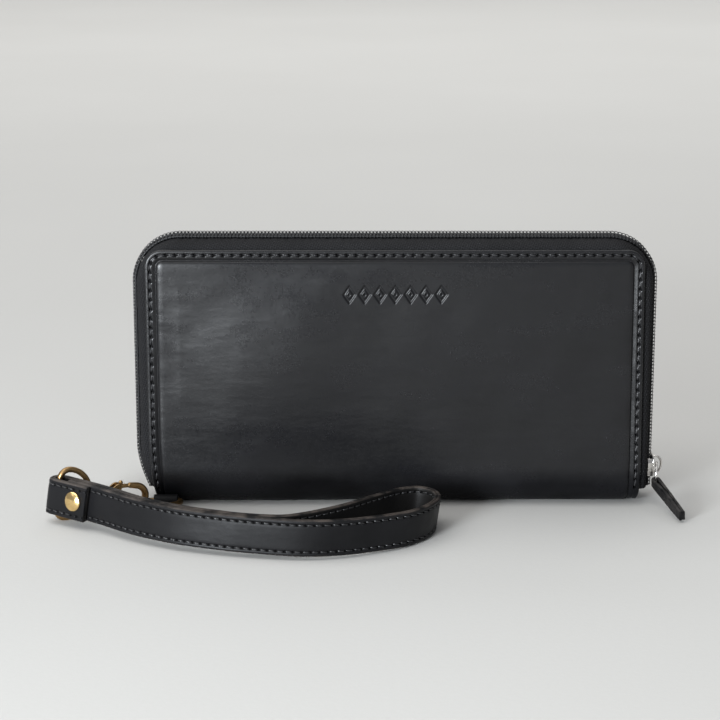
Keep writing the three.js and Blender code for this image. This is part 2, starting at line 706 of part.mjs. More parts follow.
function leatherTab() {
  const outer = TAB.hole + TAB.skin;
  const shape = new THREE.Shape();
  shape.moveTo(TAB.tailY, TAB.tailHigh);
  const { fromDeg, turnDeg, steps } = TAB_LOOP;
  for (let i = 0; i <= steps; i += 1) {
    const angle = THREE.MathUtils.degToRad(fromDeg + (turnDeg * i) / steps);
    shape.lineTo(RING.y + outer * Math.cos(angle), RING.z + outer * Math.sin(angle));
  }
  shape.lineTo(TAB.tailY, TAB.tailLow);
  const hole = new THREE.Path();
  hole.absarc(RING.y, RING.z, TAB.hole, 0, 2 * Math.PI, true);
  shape.holes.push(hole);
  return bar(shape, TAB.x - TAB.width / 2, TAB.x + TAB.width / 2);
}

function spineRing() {
  const { half: h, straight: s, corner } = RING_SHAPE;
  const walk = outlineWalker([
    straightPiece([h - corner, 0], [-h + corner, 0]),
    arcPiece([-h + corner, -corner], corner, corner, Math.PI / 2, Math.PI),
    straightPiece([-h, -corner], [-h, -s]),
    arcPiece([0, -s], h, h, Math.PI, 2 * Math.PI),
    straightPiece([h, -s], [h, -corner]),
    arcPiece([h - corner, -corner], corner, corner, 0, Math.PI / 2),
  ]);
  const ring = closedWire(walk, RING.wire, 56, 12);
  ring.rotateX(-THREE.MathUtils.degToRad(RING.tiltDeg));
  ring.translate(RING.x, RING.y, RING.z);
  return ring;
}

// ---------------------------------------------------------------- swivel clasp

// Puts geometry drawn along the clasp's own axis in its place: local X runs from the strap end to
// the hook end, and local Y points up.
function placeClasp(geometry) {
  const along = new THREE.Vector3(...CLASP_DIRECTION).normalize();
  const out = new THREE.Vector3(along.x, along.y, 0).normalize().cross(new THREE.Vector3(0, 0, 1));
  const up = out.clone().cross(along).normalize();
  const matrix = new THREE.Matrix4().makeBasis(along, up, out);
  matrix.setPosition(...CLASP_AT);
  return remap(geometry, (p) => p.clone().applyMatrix4(matrix));
}

// The hole for the gate's pin, cut right through.
function gatePinHole() {
  const at = [GATE.pivotX, GATE.pivotY];
  return rod([...at, -THROUGH], [...at, THROUGH], GATE_PIN.radius + GATE_PIN.clear, 12);
}

function clawHook() {
  const c = CLAW;
  const path = CLAW_START.map(([ahead, below]) => [c.neck + ahead, -below, 0]);
  for (let i = 0; i <= c.bendSteps; i += 1) {
    const angle = -Math.PI / 2 + (Math.PI * i) / c.bendSteps;
    path.push([c.bend + c.half * Math.cos(angle), c.half * Math.sin(angle), 0]);
  }
  path.push([c.tip, c.half, 0]);
  const hook = wire(path, c.wire, c.steps);
  const barrel = rod([BARREL.back, 0, 0], [BARREL.front, 0, 0], BARREL.radius, 24);
  const shoulder = ball([BARREL.front - SHOULDER.behind, -SHOULDER.below, 0], SHOULDER.radius, 16);
  const ear = box(
    [BARREL.front - EAR.behind, EAR.low, -EAR.half],
    [GATE.pivotX + EAR.beyondPin, GATE.pivotY + EAR.abovePin, EAR.half],
  );
  const slotHalf = GATE_SHAPE.halfThick + GATE_SLOT.clear;
  const gateSlot = box(
    [BARREL.front - GATE_SLOT.behind, GATE_SLOT.low, -slotHalf],
    [GATE.pivotX + GATE_SLOT.reach, GATE.pivotY + GATE_SLOT.reach, slotHalf],
  );
  const bore = rod([BARREL.back - 1, 0, 0], [CHAMBER.back + 0.2, 0, 0], BARREL.bore, 20);
  const chamber = rod([CHAMBER.back, 0, 0], [CHAMBER.front, 0, 0], CHAMBER.radius, 20);
  return placeClasp(cut(fuse(barrel, shoulder, hook, ear), gateSlot, bore, chamber, gatePinHole()));
}

function clawGate() {
  const g = GATE;
  const { wire: armRadius, halfThick, knuckle: knuckleRadius } = GATE_SHAPE;
  const knuckle = rod([g.pivotX, g.pivotY, -halfThick], [g.pivotX, g.pivotY, halfThick], knuckleRadius);
  const arm = rod([g.pivotX, g.pivotY, 0], [g.endX, g.endY, 0], armRadius, 12);
  const tip = [g.pivotX + THUMB.to, g.pivotY + THUMB.high, 0];
  const thumb = rod([g.pivotX + THUMB.from, g.pivotY, 0], tip, THUMB.wire, 12);
  const thumbEnd = ball(tip, THUMB.end);
  return placeClasp(cut(fuse(knuckle, arm, thumb, thumbEnd), gatePinHole()));
}

function gatePin() {
  const at = [GATE.pivotX, GATE.pivotY];
  return placeClasp(rod([...at, -GATE_PIN.half], [...at, GATE_PIN.half], GATE_PIN.radius, 12));
}

// The strap's eye: a D of wire with its straight side in the strap fold, and a stem in the barrel.
function swivelEye() {
  const e = EYE;
  const r = e.corner;
  const depth = e.front - e.bar;
  const walk = outlineWalker([
    straightPiece([e.bar, e.half - r], [e.bar, -e.half + r]),
    arcPiece([e.bar + r, -e.half + r], r, r, Math.PI, 1.5 * Math.PI),
    arcPiece([e.bar + r, 0], depth - r, e.half, -Math.PI / 2, Math.PI / 2),
    arcPiece([e.bar + r, e.half - r], r, r, Math.PI / 2, Math.PI),
  ]);
  const loop = closedWire(walk, e.wire, 56, 12);
  const stem = rod([e.front - STEM.inLoop, 0, 0], [STEM.headFront, 0, 0], STEM.radius, 16);
  const head = rod([STEM.headBack, 0, 0], [STEM.headFront, 0, 0], STEM.head, 20);
  const collar = rod([e.front - COLLAR.behind, 0, 0], [e.front + COLLAR.ahead, 0, 0], COLLAR.radius, 16);
  return placeClasp(fuse(loop, stem, head, collar));
}

// ---------------------------------------------------------------- wrist strap

function flatCurve(points) {
  const flat = points.map(([x, y]) => new THREE.Vector3(x, y, 0));
  return new THREE.CatmullRomCurve3(flat, false, 'centripetal');
}

// The strap's centre line seen from above: the flap in front of the stack, the fold round the eye,
// the back run, the open loop and the front run, which ends inside the stack.
function strapPlan() {
  const stack = flatCurve(STRAP_STACK);
  const length = stack.getLength();
  const beside = (distance, offset) => {
    const at = stack.getPointAt(distance / length);
    const along = stack.getTangentAt(distance / length);
    return [at.x + offset * along.y, at.y - offset * along.x];
  };
  const [eyeX, eyeY] = STRAP_STACK[0];
  const start = stack.getTangentAt(0);
  const fold = FOLD_DEGREES.map((degrees) => {
    const angle = THREE.MathUtils.degToRad(degrees);
    const across = -STRAP_STACK_PITCH * Math.cos(angle);
    const back = STRAP_STACK_PITCH * Math.sin(angle);
    return [eyeX - back * start.x + across * start.y, eyeY - back * start.y - across * start.x];
  });
  return [
    ...FLAP_REACH.map((distance) => beside(distance, STRAP_STACK_PITCH)),
    ...fold,
    ...BACK_RUN.map((distance) => beside(distance, -STRAP_STACK_PITCH)),
    ...STRAP_LOOP,
    ...FRONT_RUN.map((distance) => beside(distance, 0)),
  ];
}

const strapCurve = flatCurve(strapPlan());
strapCurve.arcLengthDivisions = 2000;

// The strap leans with the eye it hangs on.
function strapLean(z) {
  return new THREE.Vector3(STRAP_LEAN.x, STRAP_LEAN.y, 0).multiplyScalar(z - STRAP_LEAN.level);
}

// Turns an even step fraction into a fraction of the strap's length.
function strapFraction(even) {
  const length = strapCurve.getLength();
  const index = STRAP_SPACING.findIndex(([step]) => even <= step + 1e-6);
  const [stepHigh, distanceHigh] = STRAP_SPACING[Math.max(index, 1)];
  const [stepLow, distanceLow] = STRAP_SPACING[Math.max(index, 1) - 1];
  const t = (even - stepLow) / (stepHigh - stepLow);
  return THREE.MathUtils.lerp(distanceLow, distanceHigh ?? length, t) / length;
}

// One ply of the strap: side +1 is the face that shows outside the loop, -1 the lining face.
function strapPly(side) {
  const blank = new THREE.BoxGeometry(1, 1, 1, 1, 1, STRAP_STEPS);
  const near = STRAP.plyGap / 2;
  return remap(blank, (p) => {
    const t = strapFraction(p.z + 0.5);
    const centre = strapCurve.getPointAt(t);
    const along = strapCurve.getTangentAt(t);
    const outX = -along.y;
    const outY = along.x;
    const out = side * (near + (p.x * side + 0.5) * STRAP.ply);
    const lift = STRAP.ground + STRAP.lift * (STRAP.liftFrom - centre.x);
    const z = lift + (p.y + 0.5) * STRAP.width;
    return new THREE.Vector3(centre.x + outX * out, centre.y + outY * out, z).add(strapLean(z));
  });
}

// The strap rivet's axis runs square through the strap where the plies lie together.
function rivetAxis() {
  const along = strapCurve.getTangentAt(0);
  const across = new THREE.Vector3(STRAP_LEAN.x, STRAP_LEAN.y, 1).normalize();
  const forward = across.clone().cross(along).normalize();
  const z = STRAP.ground + STRAP.lift * (STRAP.liftFrom - RIVET.x) + STRAP.width / 2;
  const at = new THREE.Vector3(RIVET.x, RIVET.y, z);
  return (distance) => at.clone().addScaledVector(forward, distance).toArray();
}

function withRivetHole(geometry) {
  const point = rivetAxis();
  return cut(geometry, rod(point(-RIVET_REACH), point(RIVET_REACH), RIVET.hole, 16));
}

function rivetCap() {
  const point = rivetAxis();
  const { cap, capThick, out } = RIVET;
  const postEnd = point(out + RIVET_POST.inCap);
  const post = rod(point(-out + RIVET_POST.sunk), postEnd, RIVET.post, 16);
  const rim = rod(point(out), point(out + capThick * RIVET_CROWN.rimTo), cap, 28);
  const crownFrom = point(out + capThick * RIVET_CROWN.from);
  const crown = rod(crownFrom, point(out + capThick), cap * RIVET_CROWN.radiusShare, 28);
  return fuse(post, rim, crown);
}

function rivetBack() {
  const point = rivetAxis();
  const radius = RIVET.cap * RIVET_BACK.radiusShare;
  return rod(point(-RIVET.out - RIVET_BACK.thick), point(-RIVET.out), radius, 28);
}

// ---------------------------------------------------------------- assembly

add('leather_front_and_spine', frontLeather(), blackLeather());
add('leather_back', backLeather(), blackLeather());
add('spine_lining', spineLining(), liningCloth());
addCover('front', -1);
addCover('back', 1);

add('zip_tape_front', frontTape(), blackTape());
add('zip_coil_front', zipSweep(coilSection(-1), zipStations(ZIP_END)), blackNylon());
add('zip_tape_back', zipSweep(tapeSection(1, true), zipStations(ZIP_BACK_START)), blackTape());
add('zip_coil_back', zipSweep(coilSection(1), zipStations(ZIP_BACK_START)), blackNylon());
for (const [word, end] of [['left', -1], ['right', 1]]) {
  const { tape, coil } = zipEnd(end);
  add(`zip_end_tape_${word}`, tape, blackTape());
  add(`zip_end_coil_${word}`, coil, blackNylon());
}
add('zip_slider', sliderBody(), nickel());
add('pull_ring', pullRing(), nickel());
add('leather_pull', pullTab(), blackLeather());

add('coin_wall_front', layer(COIN_WALL, -1), liningCloth());
add('coin_wall_back', layer(COIN_WALL, 1), liningCloth());
add('coin_pocket_edge', coinEdge(), liningCloth());
add('coin_tape_front', coinTape(-1), blackTape());
add('coin_tape_back', coinTape(1), blackTape());
add('coin_coil_front', coinCoil(-1), blackNylon());
add('coin_coil_back', coinCoil(1), blackNylon());
add('coin_slider', coinSlider(), nickel());
add('coin_pull', coinPull(), nickel());

add('spine_tab', leatherTab(), blackLeather());
add('spine_ring', spineRing(), antiqueBrass());
add('clasp_hook', clawHook(), antiqueBrass());
add('clasp_gate', clawGate(), antiqueBrass());
add('clasp_gate_pin', gatePin(), antiqueBrass());
add('swivel_eye', swivelEye(), antiqueBrass());

add('strap_leather', withRivetHole(strapPly(1)), blackLeather());
add('strap_lining', withRivetHole(strapPly(-1)), innerLeather());
add('strap_rivet_cap', rivetCap(), polishedBrass());
add('strap_rivet_back', rivetBack(), polishedBrass());

export default object;
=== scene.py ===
"""Looks of the zip-around wristlet wallet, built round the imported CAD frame.

Lengths in this file are millimetres in the row frame, and turn into metres where a mesh is made.
X runs along the wallet, Y from the front face to the back face and Z up.
"""

import math

import bpy
import numpy as np
from mathutils import Matrix, Vector, noise


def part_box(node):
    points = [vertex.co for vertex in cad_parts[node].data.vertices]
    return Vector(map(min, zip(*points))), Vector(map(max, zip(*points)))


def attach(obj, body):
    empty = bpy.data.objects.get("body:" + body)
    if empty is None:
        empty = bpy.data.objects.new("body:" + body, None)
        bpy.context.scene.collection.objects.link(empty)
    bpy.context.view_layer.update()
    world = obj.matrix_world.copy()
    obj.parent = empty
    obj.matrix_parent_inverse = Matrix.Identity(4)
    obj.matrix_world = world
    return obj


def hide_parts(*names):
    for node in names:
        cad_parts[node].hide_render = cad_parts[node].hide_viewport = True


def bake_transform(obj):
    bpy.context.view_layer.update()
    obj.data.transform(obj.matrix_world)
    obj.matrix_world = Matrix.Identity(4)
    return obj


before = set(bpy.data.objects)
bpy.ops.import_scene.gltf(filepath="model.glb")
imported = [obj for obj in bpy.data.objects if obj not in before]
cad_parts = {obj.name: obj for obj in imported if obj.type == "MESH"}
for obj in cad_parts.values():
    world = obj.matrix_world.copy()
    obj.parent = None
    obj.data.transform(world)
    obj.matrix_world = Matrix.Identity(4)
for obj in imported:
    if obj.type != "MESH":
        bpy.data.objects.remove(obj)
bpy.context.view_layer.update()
MM = 0.001


def node_box(name):
    """Lowest and highest corner of a CAD node, in millimetres."""
    low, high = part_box(name)
    return np.array(low) / MM, np.array(high) / MM


# ---------------------------------------------------------------- sizes taken from the frame

skin_low, skin_high = node_box("leather_front_and_spine")
LEATHER_INSET = 0.8
HALF_WIDTH = skin_high[0] - LEATHER_INSET
LEATHER_TOP = skin_high[2]
HALF_THICK = -skin_low[1]
back_low, back_high = node_box("leather_back")
LEATHER = HALF_THICK - back_low[1]
coil_low, coil_high = node_box("zip_coil_front")
coin_coil_low, coin_coil_high = node_box("coin_coil_front")
ring_low, ring_high = node_box("pull_ring")

# ---------------------------------------------------------------- design sizes

TOP_CORNER = 6.5
SPINE_HEIGHT = 14.0
SPINE_CORNER = 5.0
SKIN_SPLIT = 0.22  # turn of the spine's curve at which the two pieces of the skin meet
CROWN = 0.8
WAVE = 0.75
SWELL = (-48.0, 58.0, 36.0, 29.0, 2.2)  # a slow bulge: x, z, reach in x, reach in z, height
# distance from the leather's edge, height over the flat face
BORDER = [
    (0.0, -0.55), (0.06, -0.36), (0.16, -0.2), (0.32, -0.07), (0.55, 0.0), (0.85, 0.04),
    (1.15, 0.03), (1.4, -0.02), (1.6, -0.09), (1.8, -0.13), (2.0, -0.09), (2.2, -0.02),
    (2.5, 0.0), (2.8, -0.06), (3.1, -0.16), (3.4, -0.3), (3.7, -0.46), (3.9, -0.56),
    (4.05, -0.52), (4.2, -0.3), (4.4, -0.02), (4.8, 0.2), (5.6, 0.3), (6.5, 0.33),
]
STITCH_INSET = 1.8
STITCH_PITCH = 3.5
STITCH_LENGTH = 2.5
THREAD = 0.29
HOLE_HALF = (0.86, 0.5)  # half length and half width of a needle hole
HOLE_SLANT = 0.55
HOLE_DEPTH = 0.95
MARK_X = 19.8
MARK_Z = 82.2
MARK_HALF_HEIGHT = 3.7
MARK_DEPTH = 0.5
MARK_PARTS = 7
MARK_STROKE = 0.6

ZIP_X = skin_high[0] + 2.45
ZIP_TOP = LEATHER_TOP + 2.45
ZIP_RADIUS = 15.75
ZIP_END = 6.0
ZIP_BACK_START = 17.9
ZIP_TAPER_TOP = 22.0
ZIP_TAPER = 4.2
COIL_PITCH = 1.3
COIL_WIRE = 0.29
COIL_MIDDLE = 0.98
COIL_ACROSS = 1.88
COIL_HALF_OUT = 0.68
COIL_HALF_ACROSS = 1.26

SLIDER_Z = 13.4
RING_AT = (ring_low + ring_high) / 2 - np.array([0.3, 0.0, 0.0])
RING_TURN = math.radians(8)  # the ring's front end is turned towards the wallet's middle
RING_RADIUS = (ring_high[1] - ring_low[1]) / 2 - 0.55
PULL_LINE = [
    (99.1, -4.4, 8.0), (100.8, -10.6, 6.5), (102.5, -17.4, 5.2), (104.1, -24.2, 3.9),
    (105.8, -31.4, 2.75),
]

CLASP_AT = np.array([-108.7, -21.15, 7.69])
CLASP_DIRECTION = np.array([0.902, 0.403, -0.155])
SPINE_RING_AT = np.array([-88.97, -13.4, 2.9])
SPINE_RING_TILT = 6.0
TAB_X = (-90.6, -81.6)

STRAP_WIDTH = 13.0
STRAP_PLY = 1.2
STRAP_LEAN = (0.143, 0.064)
STRAP_LEAN_LEVEL = 10.4
STRAP_PITCH = 2.64
STRAP_STACK = [
    (-124.5, -28.2), (-117.1, -33.4), (-110.6, -38.0), (-102.9, -44.2), (-94.3, -51.4),
    (-80.0, -60.0), (-69.1, -64.3), (-51.6, -69.4),
]
STRAP_LOOP = [
    (-41.0, -66.6), (-33.0, -62.9), (-20.0, -53.0), (-8.0, -40.5), (1.0, -31.9), (8.0, -29.2),
    (13.2, -32.4), (15.0, -39.0), (12.4, -48.0), (5.4, -57.3), (-4.3, -63.4), (-18.7, -69.4),
    (-32.6, -71.6),
]
RIVET_PLAN = (-115.6, -34.5)

# ---------------------------------------------------------------- mesh helpers


def unit(v):
    v = np.asarray(v, float)
    return v / np.maximum(np.linalg.norm(v, axis=-1, keepdims=True), 1e-12)


def piece(name, points, faces, look, body=None, stands_for=(), uv=None, smooth_angle=50):
    """A mesh object from points in millimetres. uv holds one pair per point."""
    mesh = bpy.data.meshes.new(name)
    mesh.from_pydata((np.asarray(points, float) * MM).tolist(), [], [list(map(int, f)) for f in faces])
    if uv is not None:
        layer = mesh.uv_layers.new(name="seam")
        corner = np.zeros(len(mesh.loops), np.int32)
        mesh.loops.foreach_get("vertex_index", corner)
        layer.data.foreach_set("uv", np.asarray(uv, np.float32)[corner].ravel())
    mesh.shade_smooth()
    mesh.set_sharp_from_angle(angle=math.radians(smooth_angle))
    made = bpy.data.objects.new(name, mesh)
    bpy.context.scene.collection.objects.link(made)
    material, slot_name = look
    mesh.materials.append(material)
    if body is not None:
        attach(made, body)
    if stands_for:
        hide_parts(*stands_for)
    return made


def grid_quads(rows, cols, start=0, wrap_rows=False, wrap_cols=False, flip=False):
    """Quads of a grid of points in row-major order."""
    i = np.arange(rows if wrap_rows else rows - 1)
    j = np.arange(cols if wrap_cols else cols - 1)
    a, b = np.meshgrid(i, j, indexing="ij")
    a2 = (a + 1) % rows
    b2 = (b + 1) % cols
    quads = np.stack([a * cols + b, a * cols + b2, a2 * cols + b2, a2 * cols + b], -1).reshape(-1, 4)
    if flip:
        quads = quads[:, ::-1]
    return quads + start


def shell(outer, inner):
    """Closed sheet between two grids of the same size; outer faces away from inner."""
    rows, cols, _ = outer.shape
    count = rows * cols
    points = np.concatenate([outer.reshape(-1, 3), inner.reshape(-1, 3)])
    top = np.arange(cols)
    right = np.arange(rows) * cols + cols - 1
    bottom = (rows - 1) * cols + np.arange(cols)[::-1]
    left = np.arange(rows)[::-1] * cols
    loop = np.concatenate([top[:-1], right[:-1], bottom[:-1], left[:-1]])
    following = np.roll(loop, -1)
    rim = np.stack([following, loop, loop + count, following + count], -1)
    faces = np.concatenate([
        grid_quads(rows, cols),
        grid_quads(rows, cols, start=count, flip=True),
        rim,
    ])
    return points, faces


def join(parts):
    """Joins (points, faces) or (points, faces, uv) parts into one."""
    points, faces, uvs, start = [], [], [], 0
    for part in parts:
        points.append(part[0])
        faces.extend([[int(v) + start for v in f] for f in part[1]])
        if len(part) > 2:
            uvs.append(part[2])
        start += len(part[0])
    return np.concatenate(points), faces, (np.concatenate(uvs) if uvs else None)


def frames_along(path, closed=False, up=None):
    """Tangent, side and up vectors along a path; up is carried along or held to a given one."""
    path = np.asarray(path, float)
    if closed:
        tangent = unit(np.roll(path, -1, 0) - np.roll(path, 1, 0))
    else:
        tangent = unit(np.gradient(path, axis=0))
    if up is not None:
        up = np.broadcast_to(np.asarray(up, float), path.shape)
        side = unit(np.cross(tangent, up))
        return tangent, side, np.cross(side, tangent)
    start = np.array([0, 0, 1.0]) if abs(tangent[0][2]) < 0.9 else np.array([1.0, 0, 0])
    ups = [unit(start - tangent[0] * (start @ tangent[0]))]
    for k in range(1, len(path)):
        v = ups[-1] - tangent[k] * (ups[-1] @ tangent[k])
        ups.append(unit(v))
    ups = np.array(ups)
    return tangent, np.cross(tangent, ups), ups


def tube(path, radius, sides=12, closed=False, up=None, flat=1.0):
    """Round or oval tube along a path, with closed rounded ends. radius may vary along it."""
    path = np.asarray(path, float)
    radius = np.broadcast_to(np.asarray(radius, float), len(path)).copy()
    tangent, side, ups = frames_along(path, closed, up)
    if not closed:
        steps = np.array([1.0, 0.94, 0.77, 0.5, 0.17])
        heads = np.sqrt(1 - steps**2)
        lead = [path[0] - tangent[0] * radius[0] * s for s in steps]
        tail = [path[-1] + tangent[-1] * radius[-1] * s for s in steps[::-1]]
        path = np.concatenate([lead, path, tail])
        n = len(steps)
        side = np.concatenate([np.repeat(side[:1], n, 0), side, np.repeat(side[-1:], n, 0)])
        ups = np.concatenate([np.repeat(ups[:1], n, 0), ups, np.repeat(ups[-1:], n, 0)])
        radius = np.concatenate([radius[0] * heads, radius, radius[-1] * heads[::-1]])
        radius = np.maximum(radius, 0.02)
    angle = np.linspace(0, 2 * math.pi, sides, endpoint=False)
    ring = (
        np.cos(angle)[None, :, None] * side[:, None, :] * radius[:, None, None]
        + np.sin(angle)[None, :, None] * ups[:, None, :] * radius[:, None, None] * flat
    )
    points = (path[:, None, :] + ring).reshape(-1, 3)
    rows = len(path)
    faces = grid_quads(rows, sides, wrap_rows=closed, wrap_cols=True).tolist()
    if not closed:
        faces.append(list(range(sides))[::-1])
        last = (rows - 1) * sides
        faces.append([last + k for k in range(sides)])
    return points, [f[::-1] for f in faces]


def extrude_section(path, side, thin, section, uv_from=None):
    """Sweeps a closed section of (along side, along thin) points along a path, with flat ends."""
    section = np.asarray(section, float)
    if section.ndim == 2:
        section = np.broadcast_to(section, (len(path),) + section.shape)
    points = (
        path[:, None, :]
        + section[:, :, 0:1] * side[:, None, :]
        + section[:, :, 1:2] * thin[:, None, :]
    )
    rows, cols = points.shape[:2]
    faces = grid_quads(rows, cols, wrap_cols=True).tolist()
    faces.append(list(range(cols))[::-1])
    last = (rows - 1) * cols
    faces.append([last + k for k in range(cols)])
    return points.reshape(-1, 3), faces


def lathe(profile, sides=32):
    """Turned form about the local X axis from (x, radius) points, closed at both ends."""
    angle = np.linspace(0, 2 * math.pi, sides, endpoint=False)
    profile = np.asarray(profile, float)
    points = np.stack(
        [
            np.repeat(profile[:, 0][:, None], sides, 1),
            profile[:, 1][:, None] * np.cos(angle)[None, :],
            profile[:, 1][:, None] * np.sin(angle)[None, :],
        ],
        -1,
    ).reshape(-1, 3)
    rows = len(profile)
    faces = grid_quads(rows, sides, wrap_cols=True, flip=True).tolist()
    faces.append(list(range(sides)))
    last = (rows - 1) * sides
    faces.append([last + k for k in range(sides)][::-1])
    return points, faces


def place(points, axes, origin):
    """Local points to the row frame: axes are the images of local X, Y and Z."""
    return np.asarray(points, float) @ np.asarray(axes, float) + np.asarray(origin, float)


def rounded_slab(outline, low, high, bevel, steps=3):
    """Prism over a 2D outline (first, second), from low to high, with rounded edges."""
    outline = np.asarray(outline, float)
    centre = outline.mean(0)
    after = np.roll(outline, -1, 0)
    before = np.roll(outline, 1, 0)
    tangent = unit(after - before)
    inward = np.stack([-tangent[:, 1], tangent[:, 0]], -1)
    inward *= np.sign(((centre - outline) * inward).sum(1))[:, None]
    rows = []
    for k in range(steps + 1):
        a = (math.pi / 2) * k / steps
        rows.append((1 - math.sin(a), low + bevel * (1 - math.cos(a))))
    for k in range(steps + 1):
        a = (math.pi / 2) * k / steps
        rows.append((1 - math.cos(a), high - bevel * (1 - math.sin(a))))
    points = []
    for inset, depth in rows:
        ring = outline + inward * bevel * inset
        points.append(np.column_stack([np.full(len(ring), depth), ring]))
    count = len(outline)
    points = np.concatenate(points)
    faces = grid_quads(len(rows), count, wrap_cols=True).tolist()
    faces.append(list(range(count))[::-1])
    last = (len(rows) - 1) * count
    faces.append([last + k for k in range(count)])
    return points, faces


def smooth_outline(corners, radius, steps=5):
    """Rounds the corners of a closed polygon."""
    corners = np.asarray(corners, float)
    out = []
    for k in range(len(corners)):
        p, a, b = corners[k], corners[k - 1], corners[(k + 1) % len(corners)]
        r = min(radius, np.linalg.norm(a - p) * 0.45, np.linalg.norm(b - p) * 0.45)
        start = p + unit(a - p) * r
        end = p + unit(b - p) * r
        for t in np.linspace(0, 1, steps):
            out.append((1 - t) ** 2 * start + 2 * t * (1 - t) * p + t * t * end)
    return np.array(out)


def catmull(points, count, centripetal=True):
    """Points evenly spaced by length along a smooth curve through the given ones."""
    p = np.asarray(points, float)
    p = np.vstack([2 * p[0] - p[1], p, 2 * p[-1] - p[-2]])
    power = 0.5 if centripetal else 0.0
    dense = []
    for k in range(1, len(p) - 2):
        d0, d1, d2 = (np.linalg.norm(p[k + j] - p[k + j - 1]) ** power for j in (0, 1, 2))
        t1 = ((p[k] - p[k - 1]) / d0 - (p[k + 1] - p[k - 1]) / (d0 + d1) + (p[k + 1] - p[k]) / d1) * d1
        t2 = ((p[k + 1] - p[k]) / d1 - (p[k + 2] - p[k]) / (d1 + d2) + (p[k + 2] - p[k + 1]) / d2) * d1
        w = np.linspace(0, 1, 60, endpoint=False)[:, None]
        dense.append(
            p[k] + t1 * w
            + (-3 * p[k] + 3 * p[k + 1] - 2 * t1 - t2) * w**2
            + (2 * p[k] - 2 * p[k + 1] + t1 + t2) * w**3
        )
    dense = np.vstack(dense + [p[-2][None]])
    return resample(dense, count)


def resample(path, count):
    step = np.linalg.norm(np.diff(path, axis=0), axis=1)
    along = np.concatenate([[0], np.cumsum(step)])
    want = np.linspace(0, along[-1], count) if np.isscalar(count) else np.asarray(count)
    return np.column_stack([np.interp(want, along, path[:, k]) for k in range(path.shape[1])])


def length_of(path):
    return float(np.linalg.norm(np.diff(path, axis=0), axis=1).sum())


def stitches(
    path, outward, length=STITCH_LENGTH, pitch=STITCH_PITCH, radius=THREAD, slant=0.2, rise=0.12, along=None
):
    """Sewing thread along a path: one short, slightly slanted, arched stitch between two holes.

    along is the seam length at each point; holes lie at its whole multiples of the pitch.
    """
    if along is None:
        step = np.linalg.norm(np.diff(path, axis=0), axis=1)
        along = np.concatenate([[0], np.cumsum(step)])
    if along[-1] < along[0]:
        path, outward, along = path[::-1], outward[::-1], along[::-1]
    first = math.ceil(along[0] / pitch)
    last = math.floor(along[-1] / pitch)
    t = np.linspace(-1, 1, 11)
    parts = []
    for k in range(first, last):
        s = (k + 0.5) * pitch + t * length / 2
        at = np.column_stack([np.interp(s, along, path[:, j]) for j in range(3)])
        out = unit(np.column_stack([np.interp(s, along, outward[:, j]) for j in range(3)]))
        side = unit(np.cross(np.gradient(at, axis=0), out))
        height = rise - (np.abs(t) ** 5) * (rise + 0.5)
        middle = at + out * height[:, None] + side * (t * slant)[:, None]
        parts.append(tube(middle, radius, sides=7))
    return join(parts)


# ---------------------------------------------------------------- materials


def nodes_for(name):
    material = bpy.data.materials.new(name)
    material.use_nodes = True
    tree = material.node_tree
    shader = tree.nodes["Principled BSDF"]
    return material, tree, shader


